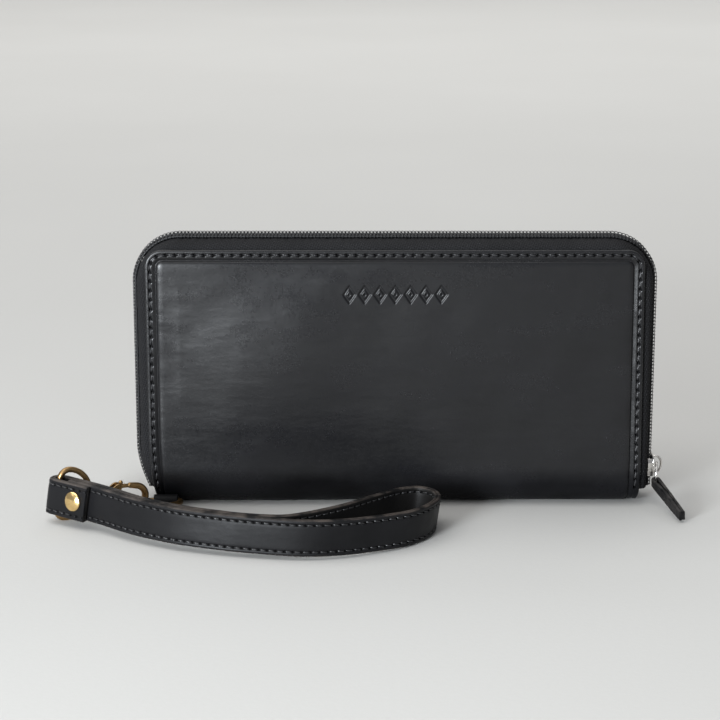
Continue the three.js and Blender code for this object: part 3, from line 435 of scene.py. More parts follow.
class Graph:
    """Short names for adding and linking shader nodes."""

    def __init__(self, name):
        self.material, self.tree, self.shader = nodes_for(name)
        self.coords = self.tree.nodes.new("ShaderNodeTexCoord")

    def add(self, kind, **inputs):
        made = self.tree.nodes.new(kind)
        for key, value in inputs.items():
            self.put(made, key, value)
        return made

    def put(self, node, key, value):
        target = node.inputs[int(key[1:])] if key[0] == "i" and key[1:].isdigit() else node.inputs[key.replace("_", " ")]
        if isinstance(value, bpy.types.NodeSocket):
            self.tree.links.new(value, target)
        else:
            target.default_value = value

    def math(self, operation, a, b=0.0, clamp=False):
        made = self.tree.nodes.new("ShaderNodeMath")
        made.operation = operation
        made.use_clamp = clamp
        self.put(made, "i0", a)
        self.put(made, "i1", b)
        return made.outputs[0]

    def noise(self, scale, detail=4.0, rough=0.55, vector=None, distortion=0.0):
        made = self.add("ShaderNodeTexNoise", Scale=scale, Detail=detail, Roughness=rough, Distortion=distortion)
        self.tree.links.new(vector or self.coords.outputs["Object"], made.inputs["Vector"])
        return made.outputs["Fac"]

    def stretch(self, scale, rotation=(0, 0, 0)):
        made = self.add("ShaderNodeMapping")
        made.inputs["Scale"].default_value = scale
        made.inputs["Rotation"].default_value = rotation
        self.tree.links.new(self.coords.outputs["Object"], made.inputs["Vector"])
        return made.outputs["Vector"]

    def cells(self, scale, feature="F1", vector=None):
        made = self.add("ShaderNodeTexVoronoi", Scale=scale)
        made.feature = feature
        self.tree.links.new(vector or self.coords.outputs["Object"], made.inputs["Vector"])
        return made.outputs["Distance"]

    def span(self, value, low, high, to_low=0.0, to_high=1.0):
        made = self.tree.nodes.new("ShaderNodeMapRange")
        self.put(made, "i0", value)
        for k, number in enumerate((low, high, to_low, to_high)):
            made.inputs[k + 1].default_value = number
        return made.outputs[0]

    def mix(self, factor, a, b):
        made = self.tree.nodes.new("ShaderNodeMix")
        made.data_type = "RGBA"
        self.put(made, "i0", factor)
        for key, value in (("i6", a), ("i7", b)):
            self.put(made, key, (*value, 1.0) if isinstance(value, tuple) else value)
        return made.outputs[2]

    def bump(self, height, strength, distance, under=None):
        made = self.add("ShaderNodeBump", Strength=strength, Distance=distance)
        self.put(made, "Height", height)
        if under is not None:
            self.put(made, "Normal", under)
        return made.outputs["Normal"]

    def seam(self):
        """Distance along the seam and distance from the edge, in millimetres."""
        made = self.tree.nodes.new("ShaderNodeUVMap")
        made.uv_map = "seam"
        apart = self.tree.nodes.new("ShaderNodeSeparateXYZ")
        self.tree.links.new(made.outputs[0], apart.inputs[0])
        return apart.outputs[0], apart.outputs[1]

    def holes(self, pitch, inset, half_length, half_width, slant):
        """1 inside the slanted needle holes of a seam, 0 outside."""
        along, across = self.seam()
        side = self.math("SUBTRACT", across, inset)
        leaned = self.math("ADD", along, self.math("MULTIPLY", side, slant))
        cell = self.math("FRACT", self.math("DIVIDE", leaned, pitch))
        from_hole = self.math("MULTIPLY", self.math("SUBTRACT", 0.5, self.math("ABSOLUTE", self.math("SUBTRACT", cell, 0.5))), pitch)
        a = self.math("POWER", self.math("DIVIDE", from_hole, half_length), 2.0)
        b = self.math("POWER", self.math("DIVIDE", self.math("ABSOLUTE", side), half_width), 2.0)
        return self.span(self.math("ADD", a, b), 1.25, 0.6)

    def finish(self, **inputs):
        for key, value in inputs.items():
            if isinstance(value, tuple) and len(value) == 3:
                value = (*value, 1.0)
            self.put(self.shader, key, value)
        return self.material


LEATHER_SHINE = 0.35


def leather(name, dark, light, rough, grain=1.0, seam=None, edge=None, fold=False, gloss=1.0):
    """Smooth finished leather: mottled colour, fine pores, faint streaks, optional seam holes with painted shade in
    them; fold adds a painted shade by lowering the reflection towards the bottom.
    """
    g = Graph(name)
    mottle = g.noise(38.0, 5.0, 0.6)
    streaks = g.noise(26.0, 3.0, 0.5, vector=g.stretch((1.0, 1.0, 3.2), (0.0, 0.65, 0.0)))
    fine = g.noise(900.0, 3.0, 0.6)
    pores = g.cells(1500.0)
    warped = g.math("MULTIPLY", g.noise(330.0, 5.0, 0.65, distortion=0.6), 1.0)
    tone = g.math("ADD", g.math("MULTIPLY", mottle, 0.55), g.math("MULTIPLY", streaks, 0.45))
    colour = g.mix(g.span(tone, 0.36, 0.66), dark, light)
    roughness = g.math("ADD", g.span(tone, 0.36, 0.64, rough + 0.11, rough - 0.08), g.span(fine, 0.3, 0.7, -0.03, 0.03))
    if edge is not None:
        _, across = g.seam()
        worn = g.math("MULTIPLY", g.span(across, 0.5, 0.12), g.span(g.noise(160.0, 4.0), 0.38, 0.6))
        colour = g.mix(worn, colour, edge)
    height = g.math("ADD", g.math("MULTIPLY", fine, 0.5), g.math("MULTIPLY", pores, 0.35))
    normal = g.bump(height, 0.16 * grain, 0.00012)
    normal = g.bump(warped, 0.1 * grain, 0.00035, under=normal)
    normal = g.bump(streaks, 0.3, 0.0014, under=normal)
    shine = LEATHER_SHINE * gloss
    # painted shade: with fold the reflection falls off below about 16 mm, so the bottom that curves under the spine
    # looks shaded
    if fold:
        bottom_shade_z = g.tree.nodes.new("ShaderNodeSeparateXYZ")
        g.tree.links.new(g.coords.outputs["Object"], bottom_shade_z.inputs[0])
        turned = g.math("ADD", bottom_shade_z.outputs[2], g.span(mottle, 0.3, 0.7, -0.0015, 0.0015))
        shine = g.span(turned, 0.009, 0.0165, 0.07, LEATHER_SHINE)
    if seam is not None:
        hole = g.holes(*seam)
        # painted shade: the needle holes are coloured near black for the shade inside them
        colour = g.mix(hole, colour, (0.0012, 0.0012, 0.0013))
        roughness = g.math("MAXIMUM", roughness, g.math("MULTIPLY", hole, 0.85))
        normal = g.bump(g.math("SUBTRACT", 1.0, hole), 0.8, 0.00035, under=normal)
    return g.finish(
        Base_Color=colour, Roughness=roughness, Normal=normal, Specular_IOR_Level=shine,
    )


def woven(name, dark, light, threads_per_mm, slant=0.0, strength=0.6, rough=0.85, sheen=0.25):
    """Plain or twill weave from two crossed waves over the seam map, with thread fuzz."""
    g = Graph(name)
    along, across = g.seam()
    turn = g.math("MULTIPLY", along, slant)
    warp = g.math("SINE", g.math("MULTIPLY", g.math("ADD", across, turn), 2 * math.pi * threads_per_mm))
    weft = g.math("SINE", g.math("MULTIPLY", g.math("SUBTRACT", along, g.math("MULTIPLY", across, slant)), 2 * math.pi * threads_per_mm))
    weave = g.span(g.math("MULTIPLY", warp, weft), -1.0, 1.0)
    fuzz = g.noise(1400.0, 3.0, 0.7)
    patch = g.noise(60.0, 3.0)
    tone = g.math("ADD", g.math("MULTIPLY", weave, 0.6), g.math("MULTIPLY", fuzz, 0.4))
    colour = g.mix(g.math("MULTIPLY", tone, g.span(patch, 0.3, 0.7, 0.7, 1.0)), dark, light)
    normal = g.bump(weave, strength, 0.00018)
    normal = g.bump(fuzz, 0.25, 0.00008, under=normal)
    return g.finish(
        Base_Color=colour, Roughness=g.span(fuzz, 0.3, 0.7, rough - 0.08, rough + 0.08),
        Normal=normal, Sheen_Weight=sheen, Sheen_Roughness=0.5, Specular_IOR_Level=0.18,
    )


def nylon(name, colour, rough):
    g = Graph(name)
    patch = g.noise(300.0, 3.0)
    tint = g.mix(patch, colour, tuple(c * 1.8 for c in colour))
    normal = g.bump(g.noise(2500.0, 2.0), 0.12, 0.00005)
    return g.finish(
        Base_Color=tint, Roughness=g.span(patch, 0.3, 0.7, rough - 0.06, rough + 0.1), Normal=normal,
        Specular_IOR_Level=0.4,
    )


def thread(name, colour):
    g = Graph(name)
    twist = g.add("ShaderNodeTexWave", Scale=620.0, Distortion=0.6)
    g.tree.links.new(g.stretch((1.0, 1.0, 1.0), (0.0, 0.7, 0.0)), twist.inputs["Vector"])
    tint = g.mix(twist.outputs["Fac"], colour, tuple(c * 2.2 for c in colour))
    normal = g.bump(twist.outputs["Fac"], 0.4, 0.0001)
    return g.finish(Base_Color=tint, Roughness=0.42, Normal=normal)


def metal(name, bright, tarnish, rough, wear):
    """Metal whose tarnish stays in patches and hollows while raised edges are rubbed bright."""
    g = Graph(name)
    patches = g.noise(190.0, 5.0, 0.65)
    scratches = g.noise(420.0, 3.0, 0.5, vector=g.stretch((1.0, 6.0, 1.0), (0.3, 0.4, 0.8)))
    geometry = g.tree.nodes.new("ShaderNodeNewGeometry")
    rubbed = g.span(geometry.outputs["Pointiness"], 0.48, 0.56)
    mask = g.math("ADD", g.math("MULTIPLY", rubbed, 0.45), g.span(patches, 0.36, 0.64, 0.0, 0.75), clamp=True)
    mask = g.math("MULTIPLY", mask, wear)
    colour = g.mix(mask, tarnish, bright)
    roughness = g.math("ADD", g.span(mask, 0.0, 1.0, rough + 0.16, rough), g.span(scratches, 0.35, 0.65, -0.03, 0.05))
    normal = g.bump(scratches, 0.05, 0.00006)
    normal = g.bump(patches, 0.08, 0.0002, under=normal)
    return g.finish(Base_Color=colour, Metallic=1.0, Roughness=roughness, Normal=normal)


def card(name):
    g = Graph(name)
    fibre = g.noise(700.0, 4.0, 0.7, vector=g.stretch((1.0, 1.0, 4.0)))
    colour = g.mix(fibre, (0.2, 0.16, 0.11), (0.34, 0.28, 0.2))
    return g.finish(Base_Color=colour, Roughness=0.92, Normal=g.bump(fibre, 0.3, 0.0001))


def floor_look():
    g = Graph("pale_floor")
    patch = g.noise(2.2, 3.0)
    fine = g.noise(520.0, 3.0, 0.6)
    colour = g.mix(g.math("ADD", g.math("MULTIPLY", patch, 0.7), g.math("MULTIPLY", fine, 0.3)), (0.45, 0.446, 0.428), (0.52, 0.516, 0.498))
    return g.finish(Base_Color=colour, Roughness=0.9, Normal=g.bump(fine, 0.12, 0.0004), Specular_IOR_Level=0.2)


BORDER_SEAM = (STITCH_PITCH, STITCH_INSET, *HOLE_HALF, HOLE_SLANT)
STRAP_STITCH_PITCH = 3.05
STRAP_STITCH_INSET = 1.7
STRAP_SEAM = (STRAP_STITCH_PITCH, STRAP_STITCH_INSET, 0.62, 0.42, 0.3)
BLACK = (0.0028, 0.0028, 0.0032)
BLACK_LIGHT = (0.0085, 0.0086, 0.0098)
RAW_EDGE = (0.055, 0.046, 0.04)
# fold=True gives the outer leather a painted shade at its bottom, where it curves under the spine
OUTER = (leather("outer_leather", BLACK, BLACK_LIGHT, 0.31, 1.0, BORDER_SEAM, fold=True), "black_leather")
STRAP_FACE = (leather("strap_leather", BLACK, (0.008, 0.008, 0.0088), 0.46, 1.1, STRAP_SEAM, RAW_EDGE, gloss=0.42), "black_leather")
STRAP_BACK = (leather("strap_back", BLACK, (0.008, 0.0076, 0.0072), 0.55, 1.6, STRAP_SEAM, RAW_EDGE, gloss=0.36), "inner_leather")
PULL_LOOK = (leather("pull_leather", BLACK, (0.005, 0.005, 0.0055), 0.52, 1.2, None, (0.035, 0.032, 0.03), gloss=0.35), "black_leather")
TAB_LOOK = (leather("tab_leather", BLACK, (0.005, 0.005, 0.0055), 0.55, 1.2, gloss=0.3), "black_leather")
INNER = (leather("inner_leather", (0.009, 0.0088, 0.009), (0.02, 0.0196, 0.02), 0.55, 1.4, (3.0, 1.5, 0.5, 0.3, 0.5)), "inner_leather")
CLOTH = (woven("lining_cloth", (0.006, 0.006, 0.0065), (0.03, 0.029, 0.03), 1.6, 0.0, 0.5), "lining_cloth")
TAPE = (woven("zip_tape", (0.0012, 0.0012, 0.0014), (0.02, 0.02, 0.0215), 0.75, 0.5, 1.0, 0.9, 0.0), "zip_tape")
COIL = (nylon("zip_nylon", (0.0035, 0.0035, 0.004), 0.5), "zip_nylon")
THREAD_LOOK = (thread("black_thread", (0.009, 0.009, 0.01)), "black_leather")
STRAP_THREAD = (thread("strap_thread", (0.004, 0.004, 0.0045)), "black_leather")
TAPE_THREAD = (thread("zip_thread", (0.009, 0.009, 0.01)), "zip_tape")
NICKEL = (metal("nickel", (0.72, 0.7, 0.67), (0.4, 0.37, 0.34), 0.2, 1.0), "nickel")
ANTIQUE = (metal("antique_brass", (0.42, 0.27, 0.12), (0.075, 0.045, 0.022), 0.3, 0.9), "antique_brass")
POLISHED = (metal("polished_brass", (0.92, 0.66, 0.3), (0.62, 0.42, 0.17), 0.13, 1.0), "polished_brass")
CARD = (card("board_card"), "board_card")

# ---------------------------------------------------------------- outer leather

EDGE_D = np.array([d for d, _ in BORDER])
EDGE_H = np.array([h for _, h in BORDER])


def lines_between(start, end, pitch):
    count = max(2, int(round((end - start) / pitch)))
    return np.linspace(start, end, count, endpoint=False)[1:]


def mark_depth(x, z):
    """Pressed ornament: a row of outlined lozenges with a small lozenge inside each."""
    pitch = 2 * MARK_X / MARK_PARTS
    index = np.floor((x + MARK_X) / pitch)
    local = np.abs((x + MARK_X) - (index + 0.5) * pitch)
    height = np.abs(z - MARK_Z)
    half = pitch / 2 - 0.25
    lean = math.hypot(1 / half, 1 / MARK_HALF_HEIGHT)
    inward = (1.0 - local / half - height / MARK_HALF_HEIGHT) / lean
    outline = np.clip((MARK_STROKE - np.abs(inward - MARK_STROKE)) / 0.22, 0, 1)
    kernel = np.clip((inward - 1.7) / 0.22, 0, 1)
    inside = np.abs(x) < MARK_X
    return np.where(inside, np.maximum(outline, kernel), 0.0)


def spine_point(turn, out):
    """Point and outward normal on the spine's curve, on the front side at turn 0."""
    y = -HALF_THICK * np.cos(turn)
    z = SPINE_HEIGHT - SPINE_HEIGHT * np.sin(turn)
    normal = unit(np.stack([-np.cos(turn) / HALF_THICK, -np.sin(turn) / SPINE_HEIGHT], -1))
    return y + normal[..., 0] * out, np.maximum(z + normal[..., 1] * out, 0.03), normal


SPINE_TURNS = np.linspace(0, math.pi, 721)
_curve = np.stack([-HALF_THICK * np.cos(SPINE_TURNS), -SPINE_HEIGHT * np.sin(SPINE_TURNS)], -1)
SPINE_ALONG = np.concatenate([[0], np.cumsum(np.linalg.norm(np.diff(_curve, axis=0), axis=1))])
STRAIGHT = LEATHER_TOP - SPINE_HEIGHT
SEAM_END = {-1: STRAIGHT + 9.0, 1: STRAIGHT - 3.6}  # where the border seam ends, by side


def skin_flat(x, t):
    """Distance from the edge, moved x and t, and distance along the seam, for flat places.

    x runs along the wallet and t down the face from the top edge, then round the spine.
    """
    r = TOP_CORNER
    u = np.abs(x) - (HALF_WIDTH - r)
    v = r - t
    corner = (u > 0) & (v > 0)
    big = np.maximum(np.maximum(u, v), 1e-9)
    turn = np.where(u >= v, (math.pi / 4) * (v / big), math.pi / 2 - (math.pi / 4) * (u / big))
    side_d = HALF_WIDTH - np.abs(x)
    distance = np.where(corner, r - big, np.minimum(side_d, t))
    new_x = np.where(corner, np.sign(x) * (HALF_WIDTH - r + big * np.cos(turn)), x)
    new_t = np.where(corner, r - big * np.sin(turn), t)
    arc = (r - STITCH_INSET) * math.pi / 2
    side_length = STRAIGHT + 22.0
    top_half = HALF_WIDTH - r
    along_side = side_length - (t - r)
    along_corner = side_length + turn / (math.pi / 2) * arc
    along_top = side_length + arc + (top_half - np.abs(x))
    on_top = (t < side_d) & ~corner
    along = np.where(corner, along_corner, np.where(on_top, along_top, along_side))
    middle = side_length + arc + top_half
    along = np.where(x < 0, along, 2 * middle - along)
    return distance, new_x, new_t, along


def skin_point(x, t, out, facing=-1):
    """Point of the skin at a height over its outer face; facing is -1 for the front."""
    distance, px, pt, along = skin_flat(x, t)
    depth = np.maximum(pt - STRAIGHT, 0.0)
    turn = np.interp(depth, SPINE_ALONG, SPINE_TURNS)
    y, z, normal = spine_point(turn, out)
    straight = pt <= STRAIGHT
    y = np.where(straight, -HALF_THICK - out, y)
    z = np.where(straight, LEATHER_TOP - pt, z)
    low = np.clip((SPINE_CORNER - z) / SPINE_CORNER, 0, 1)
    inset = SPINE_CORNER * (1 - np.sqrt(1 - low**2)) * 0.16
    near = np.clip((np.abs(px) - (HALF_WIDTH - 14)) / 14, 0, 1)
    # the left end is drawn in where it meets the spine, and the right end a little at its top
    drawn = 2.4 * np.clip((26 - z) / 26, 0, 1) ** 1.5 * (px < 0)
    leaned = (0.9 * np.clip(z / LEATHER_TOP, 0, 1) - 0.4) * (px > 0)
    px = px - np.sign(px) * near * (inset + drawn + leaned)
    return np.stack([px, -facing * y if facing > 0 else y, z], -1), distance, along


def soft_relief(x, t, distance, marked):
    """Crown, slow waves and a broad swell of the leather between its borders, with the pressed mark where asked."""
    across = np.clip(np.abs(x) / HALF_WIDTH, 0, 1)
    down = np.clip(np.abs(t - 46) / 46, 0, 1)
    rise = CROWN * (1 - across**3) * (1 - down**3)
    inner = np.clip((distance - 4.4) / 8, 0, 1)
    wave = np.zeros_like(x)
    flat_x, flat_t = x.ravel(), t.ravel()
    slow = np.array([
        noise.noise(Vector((a * 0.022 + 3.1, b * 0.03 - 1.7, 0.4))) + 0.2 * noise.noise(Vector((a * 0.07 + b * 0.03, b * 0.06, 7.0)))
        for a, b in zip(flat_x, flat_t)
    ])
    wave = slow.reshape(x.shape) * WAVE
    at_x, at_z, reach_x, reach_z, swell = SWELL
    bulge = swell * np.exp(-(((x - at_x) / reach_x) ** 2) - ((LEATHER_TOP - t - at_z) / reach_z) ** 2)
    relief = rise + (wave + bulge) * inner
    if marked:
        relief = relief - MARK_DEPTH * mark_depth(x, LEATHER_TOP - t)
    return relief


def hole_share(along, distance, pitch, inset):
    """1 at the middle of a needle hole, 0 outside it."""
    side = distance - inset
    cell = (along + side * HOLE_SLANT) / pitch
    from_hole = np.abs(cell - np.round(cell)) * pitch
    reach = (from_hole / HOLE_HALF[0]) ** 2 + (side / HOLE_HALF[1]) ** 2
    return np.clip((1.25 - reach) / 0.9, 0, 1)


def skin_piece(name, facing, last_turn, node):
    edge = EDGE_D[:-1]
    x_inner = [
        lines_between(-HALF_WIDTH + 6.5, -MARK_X - 1, 0.42),
        np.arange(-MARK_X - 1, MARK_X + 1.01, 0.27),
        lines_between(MARK_X + 1, HALF_WIDTH - 6.5, 0.42),
    ]
    xs = np.concatenate([-HALF_WIDTH + edge, [-HALF_WIDTH + 6.5], *x_inner, [HALF_WIDTH - 6.5], (HALF_WIDTH - edge)[::-1]])
    last_along = np.interp(last_turn, SPINE_TURNS, SPINE_ALONG)
    mark_top = LEATHER_TOP - MARK_Z - MARK_HALF_HEIGHT - 0.6
    mark_end = mark_top + 2 * MARK_HALF_HEIGHT + 1.2
    ts = np.concatenate([
        edge, [6.5], lines_between(6.5, mark_top, 0.42), np.arange(mark_top, mark_end, 0.25),
        lines_between(mark_end, STRAIGHT, 0.42), [STRAIGHT],
        STRAIGHT + lines_between(0, last_along, 0.62), [STRAIGHT + last_along],
    ])
    x, t = np.meshgrid(xs, ts, indexing="xy")
    distance, _, _, along = skin_flat(x, t)
    border = np.interp(distance, EDGE_D, EDGE_H)
    # the skin meets itself without a step where its two pieces join
    fade = np.clip((STRAIGHT + last_along - t) / 6.0, 0, 1)
    sewn = (t < SEAM_END[facing]) & (distance < 3.2)
    holes = hole_share(along, distance, STITCH_PITCH, STITCH_INSET) * sewn
    height = border * (0.35 + 0.65 * fade) + soft_relief(x, t, distance, facing < 0) * fade
    height = height - HOLE_DEPTH * holes
    under = -LEATHER + 0.45 * np.exp(-distance / 0.15)
    outer, _, along = skin_point(x, t, height, facing)
    inner, _, _ = skin_point(x, t, under, facing)
    points, faces = shell(outer, inner)
    if facing < 0:
        faces = faces[:, ::-1]
    seam = np.stack([along, np.where(sewn | (distance > 3.2), distance, 9.0)], -1).reshape(-1, 2)
    body = "wallet" if facing < 0 else None
    made = piece(name, points, faces, OUTER, body, (node,), np.concatenate([seam, seam]))
    return made


def border_path(facing, low_t):
    """Line of the border stitches, up the left side, over the top and down the right side."""
    r = TOP_CORNER - STITCH_INSET
    x_side = HALF_WIDTH - STITCH_INSET
    down = np.linspace(low_t, TOP_CORNER, 160)
    left = [(-x_side, t) for t in down]
    turn = np.linspace(0, math.pi / 2, 14)[1:-1]
    up_left = [(-(HALF_WIDTH - TOP_CORNER + r * math.cos(a)), TOP_CORNER - r * math.sin(a)) for a in turn]
    top = [(x, STITCH_INSET) for x in np.linspace(-(HALF_WIDTH - TOP_CORNER), HALF_WIDTH - TOP_CORNER, 260)]
    down_right = [(-x, t) for x, t in up_left[::-1]]
    right = [(x_side, t) for t in down[::-1]]
    return np.array(left + up_left + top + down_right + right)


def flat_to_grid(px, pt):
    """Undoes the corner rounding of skin_flat for points that are already on the real outline."""
    r = TOP_CORNER
    u = np.abs(px) - (HALF_WIDTH - r)
    v = r - pt
    corner = (u > 0) & (v > 0)
    rho = np.hypot(np.maximum(u, 0), np.maximum(v, 0))
    turn = np.arctan2(np.maximum(v, 0), np.maximum(u, 1e-9))
    low = turn <= math.pi / 4
    gu = np.where(low, rho, rho * (math.pi / 2 - turn) / (math.pi / 4))
    gv = np.where(low, rho * turn / (math.pi / 4), rho)
    x = np.where(corner, np.sign(px) * (HALF_WIDTH - r + gu), px)
    t = np.where(corner, r - gv, pt)
    return x, t


def border_stitches(name, facing, body):
    flat = border_path(facing, SEAM_END[facing] - 0.4)
    x, t = flat_to_grid(flat[:, 0], flat[:, 1])
    at, _, along = skin_point(x, t, np.full(len(x), -0.13), facing)
    over, _, _ = skin_point(x, t, np.full(len(x), 1.0), facing)
    relief = soft_relief(x, t, np.full(len(x), STITCH_INSET), False)
    outward = unit(over - at)
    points, faces, _ = stitches(at + outward * relief[:, None], outward, along=along)
    return piece(name, points, faces, THREAD_LOOK, body)


def build_outer_leather():
    front = skin_piece("outer_leather_front", -1, math.pi - SKIN_SPLIT, "leather_front_and_spine")
    back = skin_piece("outer_leather_back", 1, SKIN_SPLIT, "leather_back")
    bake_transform(back)
    border_stitches("border_stitches_front", -1, "wallet")
    border_stitches("border_stitches_back", 1, "back_cover")
    return front, back


# ---------------------------------------------------------------- main zip


def zip_line(low_left, low_right, pitch):
    """Stations of the zip: points, outward normals and lengths, from lower right to lower left."""
    r = ZIP_RADIUS
    turn = np.linspace(0, math.pi / 2, 60)
    right = np.column_stack([np.full(80, ZIP_X), np.linspace(low_right, ZIP_TOP - r, 80, endpoint=False)])
    first = np.column_stack([ZIP_X - r + r * np.cos(turn), ZIP_TOP - r + r * np.sin(turn)])
    second = np.column_stack([-first[::-1, 0], first[::-1, 1]])
    left = np.column_stack([np.full(80, -ZIP_X), np.linspace(ZIP_TOP - r, low_left, 81)[1:]])
    path = np.vstack([right, first, second, left])
    fall = np.clip((ZIP_TAPER_TOP - path[:, 1]) / (ZIP_TAPER_TOP - ZIP_END), 0, 1)
    path[:, 0] += ZIP_TAPER * fall**1.7 * (path[:, 0] < 0)
    total = length_of(path)
    count = max(2, int(round(total / pitch)) + 1)
    path = resample(path, count)
    tangent = unit(np.gradient(path, axis=0))
    normal = np.stack([tangent[:, 1], -tangent[:, 0]], -1)
    return path, normal, np.linspace(0, total, count)


def at_zip(path, normal, out, across):
    """Row-frame points at an outward and an across offset from zip stations."""
    out = np.asarray(out, float)
    x = path[:, 0] + normal[:, 0] * out
    z = path[:, 1] + normal[:, 1] * out
    return np.stack([x, np.broadcast_to(across, x.shape), z], -1)


TAPE_LINE = [(-6.9, 10.2), (-2.9, 10.2), (-1.3, 9.55), (-0.4, 7.9), (0.0, 5.6), (0.05, 3.0), (0.0, 0.5)]
TAPE_HALF = 0.22
TWILL = 1.15  # distance between the ribs of the woven tape


def tape_piece(name, side, stations, sewn, body, node):
    path, normal, along = stations
    line = catmull(TAPE_LINE if sewn else TAPE_LINE[3:], 72 if sewn else 30)
    tangent = unit(np.gradient(line, axis=0))
    bulge = np.stack([-tangent[:, 1], tangent[:, 0]], -1)
    # a thicker woven cord beside the coil
    widths = np.concatenate([[0], np.cumsum(np.linalg.norm(np.diff(line, axis=0), axis=1))])
    from_coil = np.abs(line[:, 1] - 3.7)
    cord = 0.12 * np.exp(-((from_coil / 0.45) ** 2))
    ripple = 0.05 * np.sin(along * 2.1) + 0.04 * np.sin(along * 0.83 + 1.0)
    fallen = np.clip((SPINE_HEIGHT - path[:, 1]) / SPINE_HEIGHT, 0, 1)
    tucked = np.sqrt(1 - fallen**2)
    outer, inner = [], []
    for (o, a), (lift_o, lift_a), w, c in zip(line, bulge, widths, cord):
        rib = 0.07 * np.sin(2 * math.pi * (w + 0.5 * along) / TWILL) * (c < 0.02) + c
        soft = ripple * (a < 7)
        up = TAPE_HALF + rib
        outer.append(at_zip(path, normal, o + soft + lift_o * up, side * (a + lift_a * up) * tucked))
        inner.append(at_zip(path, normal, o + soft - lift_o * TAPE_HALF, side * (a - lift_a * TAPE_HALF) * tucked))
    outer, inner = np.stack(outer, 1), np.stack(inner, 1)
    points, faces = shell(outer, inner)
    if side < 0:
        faces = faces[:, ::-1]
    s, w = np.meshgrid(along, widths, indexing="ij")
    seam = np.stack([s, w], -1).reshape(-1, 2)
    return piece(name, points, faces, TAPE, body, (node,), np.concatenate([seam, seam]))


def coil_piece(name, side, low_left, low_right, body, node, shift):
    """One row of the zip: a nylon spiral whose heads lie between those of the other row."""
    fine = COIL_PITCH / 14
    path, normal, along = zip_line(low_left, low_right, fine)
    turn = 2 * math.pi * (along / COIL_PITCH + shift)
    out = COIL_MIDDLE + COIL_HALF_OUT * np.cos(turn)
    across = side * COIL_ACROSS - COIL_HALF_ACROSS * np.sin(turn) * 1.0
    spiral = at_zip(path, normal, out, across)
    points, faces = tube(spiral, COIL_WIRE, sides=6)
    cores = [
        tube(at_zip(path[::8], normal[::8], COIL_MIDDLE, side * (COIL_ACROSS + offset)), 0.46, sides=10)
        for offset in (-0.98, 0.0, 0.78)
    ]
    points, faces, _ = join([(points, faces)] + cores)
    made = piece(name, points, faces, COIL, body, (node,), smooth_angle=80)
    return made


def coil_thread(name, side, low_left, low_right, body):
    """Lockstitch that holds the coil to its tape."""
    path, normal, along = zip_line(low_left, low_right, COIL_PITCH / 4)
    over = COIL_MIDDLE + COIL_HALF_OUT + 0.3 + 0.1 * np.cos(2 * math.pi * along / COIL_PITCH)
    line = at_zip(path, normal, over, side * 2.5)
    points, faces = tube(line, 0.15, sides=5)
    return piece(name, points, faces, TAPE_THREAD, body)


def end_line(end, low, high, pitch):
    """A short straight stretch of the zip at its lower end; end is +1 at the right."""
    path = np.column_stack([np.full(40, end * ZIP_X), np.linspace(low, high, 40)])
    fall = np.clip((ZIP_TAPER_TOP - path[:, 1]) / (ZIP_TAPER_TOP - ZIP_END), 0, 1)
    path[:, 0] += ZIP_TAPER * fall**1.7 * (end < 0)
    if end < 0:
        path = path[::-1]
    total = length_of(path)
    count = max(2, int(round(total / pitch)) + 1)
    path = resample(path, count)
    tangent = unit(np.gradient(path, axis=0))
    return path, np.stack([tangent[:, 1], -tangent[:, 0]], -1), np.linspace(0, total, count)


def build_zip():
    tape_piece("tape_front", -1, zip_line(ZIP_END, ZIP_END, 0.4), True, "wallet", "zip_tape_front")
    tape_piece("tape_back", 1, zip_line(ZIP_BACK_START, ZIP_BACK_START, 0.4), True, "back_cover", "zip_tape_back")
    coil_piece("coil_front", -1, ZIP_END, ZIP_END, "wallet", "zip_coil_front", 0.0)
    coil_piece("coil_back", 1, ZIP_BACK_START, ZIP_BACK_START, "back_cover", "zip_coil_back", 0.5)
    coil_thread("coil_thread_front", -1, ZIP_END, ZIP_END, "wallet")
    coil_thread("coil_thread_back", 1, ZIP_BACK_START, ZIP_BACK_START, "back_cover")
    for word, end in (("left", -1), ("right", 1)):
        top = ZIP_BACK_START - 0.3
        tape_piece(f"end_tape_{word}", 1, end_line(end, ZIP_END, top, 0.4), True, "wallet", f"zip_end_tape_{word}")
        path, normal, along = end_line(end, ZIP_END, top, COIL_PITCH / 14)
        turn = 2 * math.pi * along / COIL_PITCH
        spiral = at_zip(path, normal, COIL_MIDDLE + COIL_HALF_OUT * np.cos(turn), COIL_ACROSS - COIL_HALF_ACROSS * np.sin(turn))
        points, faces = tube(spiral, COIL_WIRE, sides=6)
        piece(f"end_coil_{word}", points, faces, COIL, "wallet", (f"zip_end_coil_{word}",), smooth_angle=80)


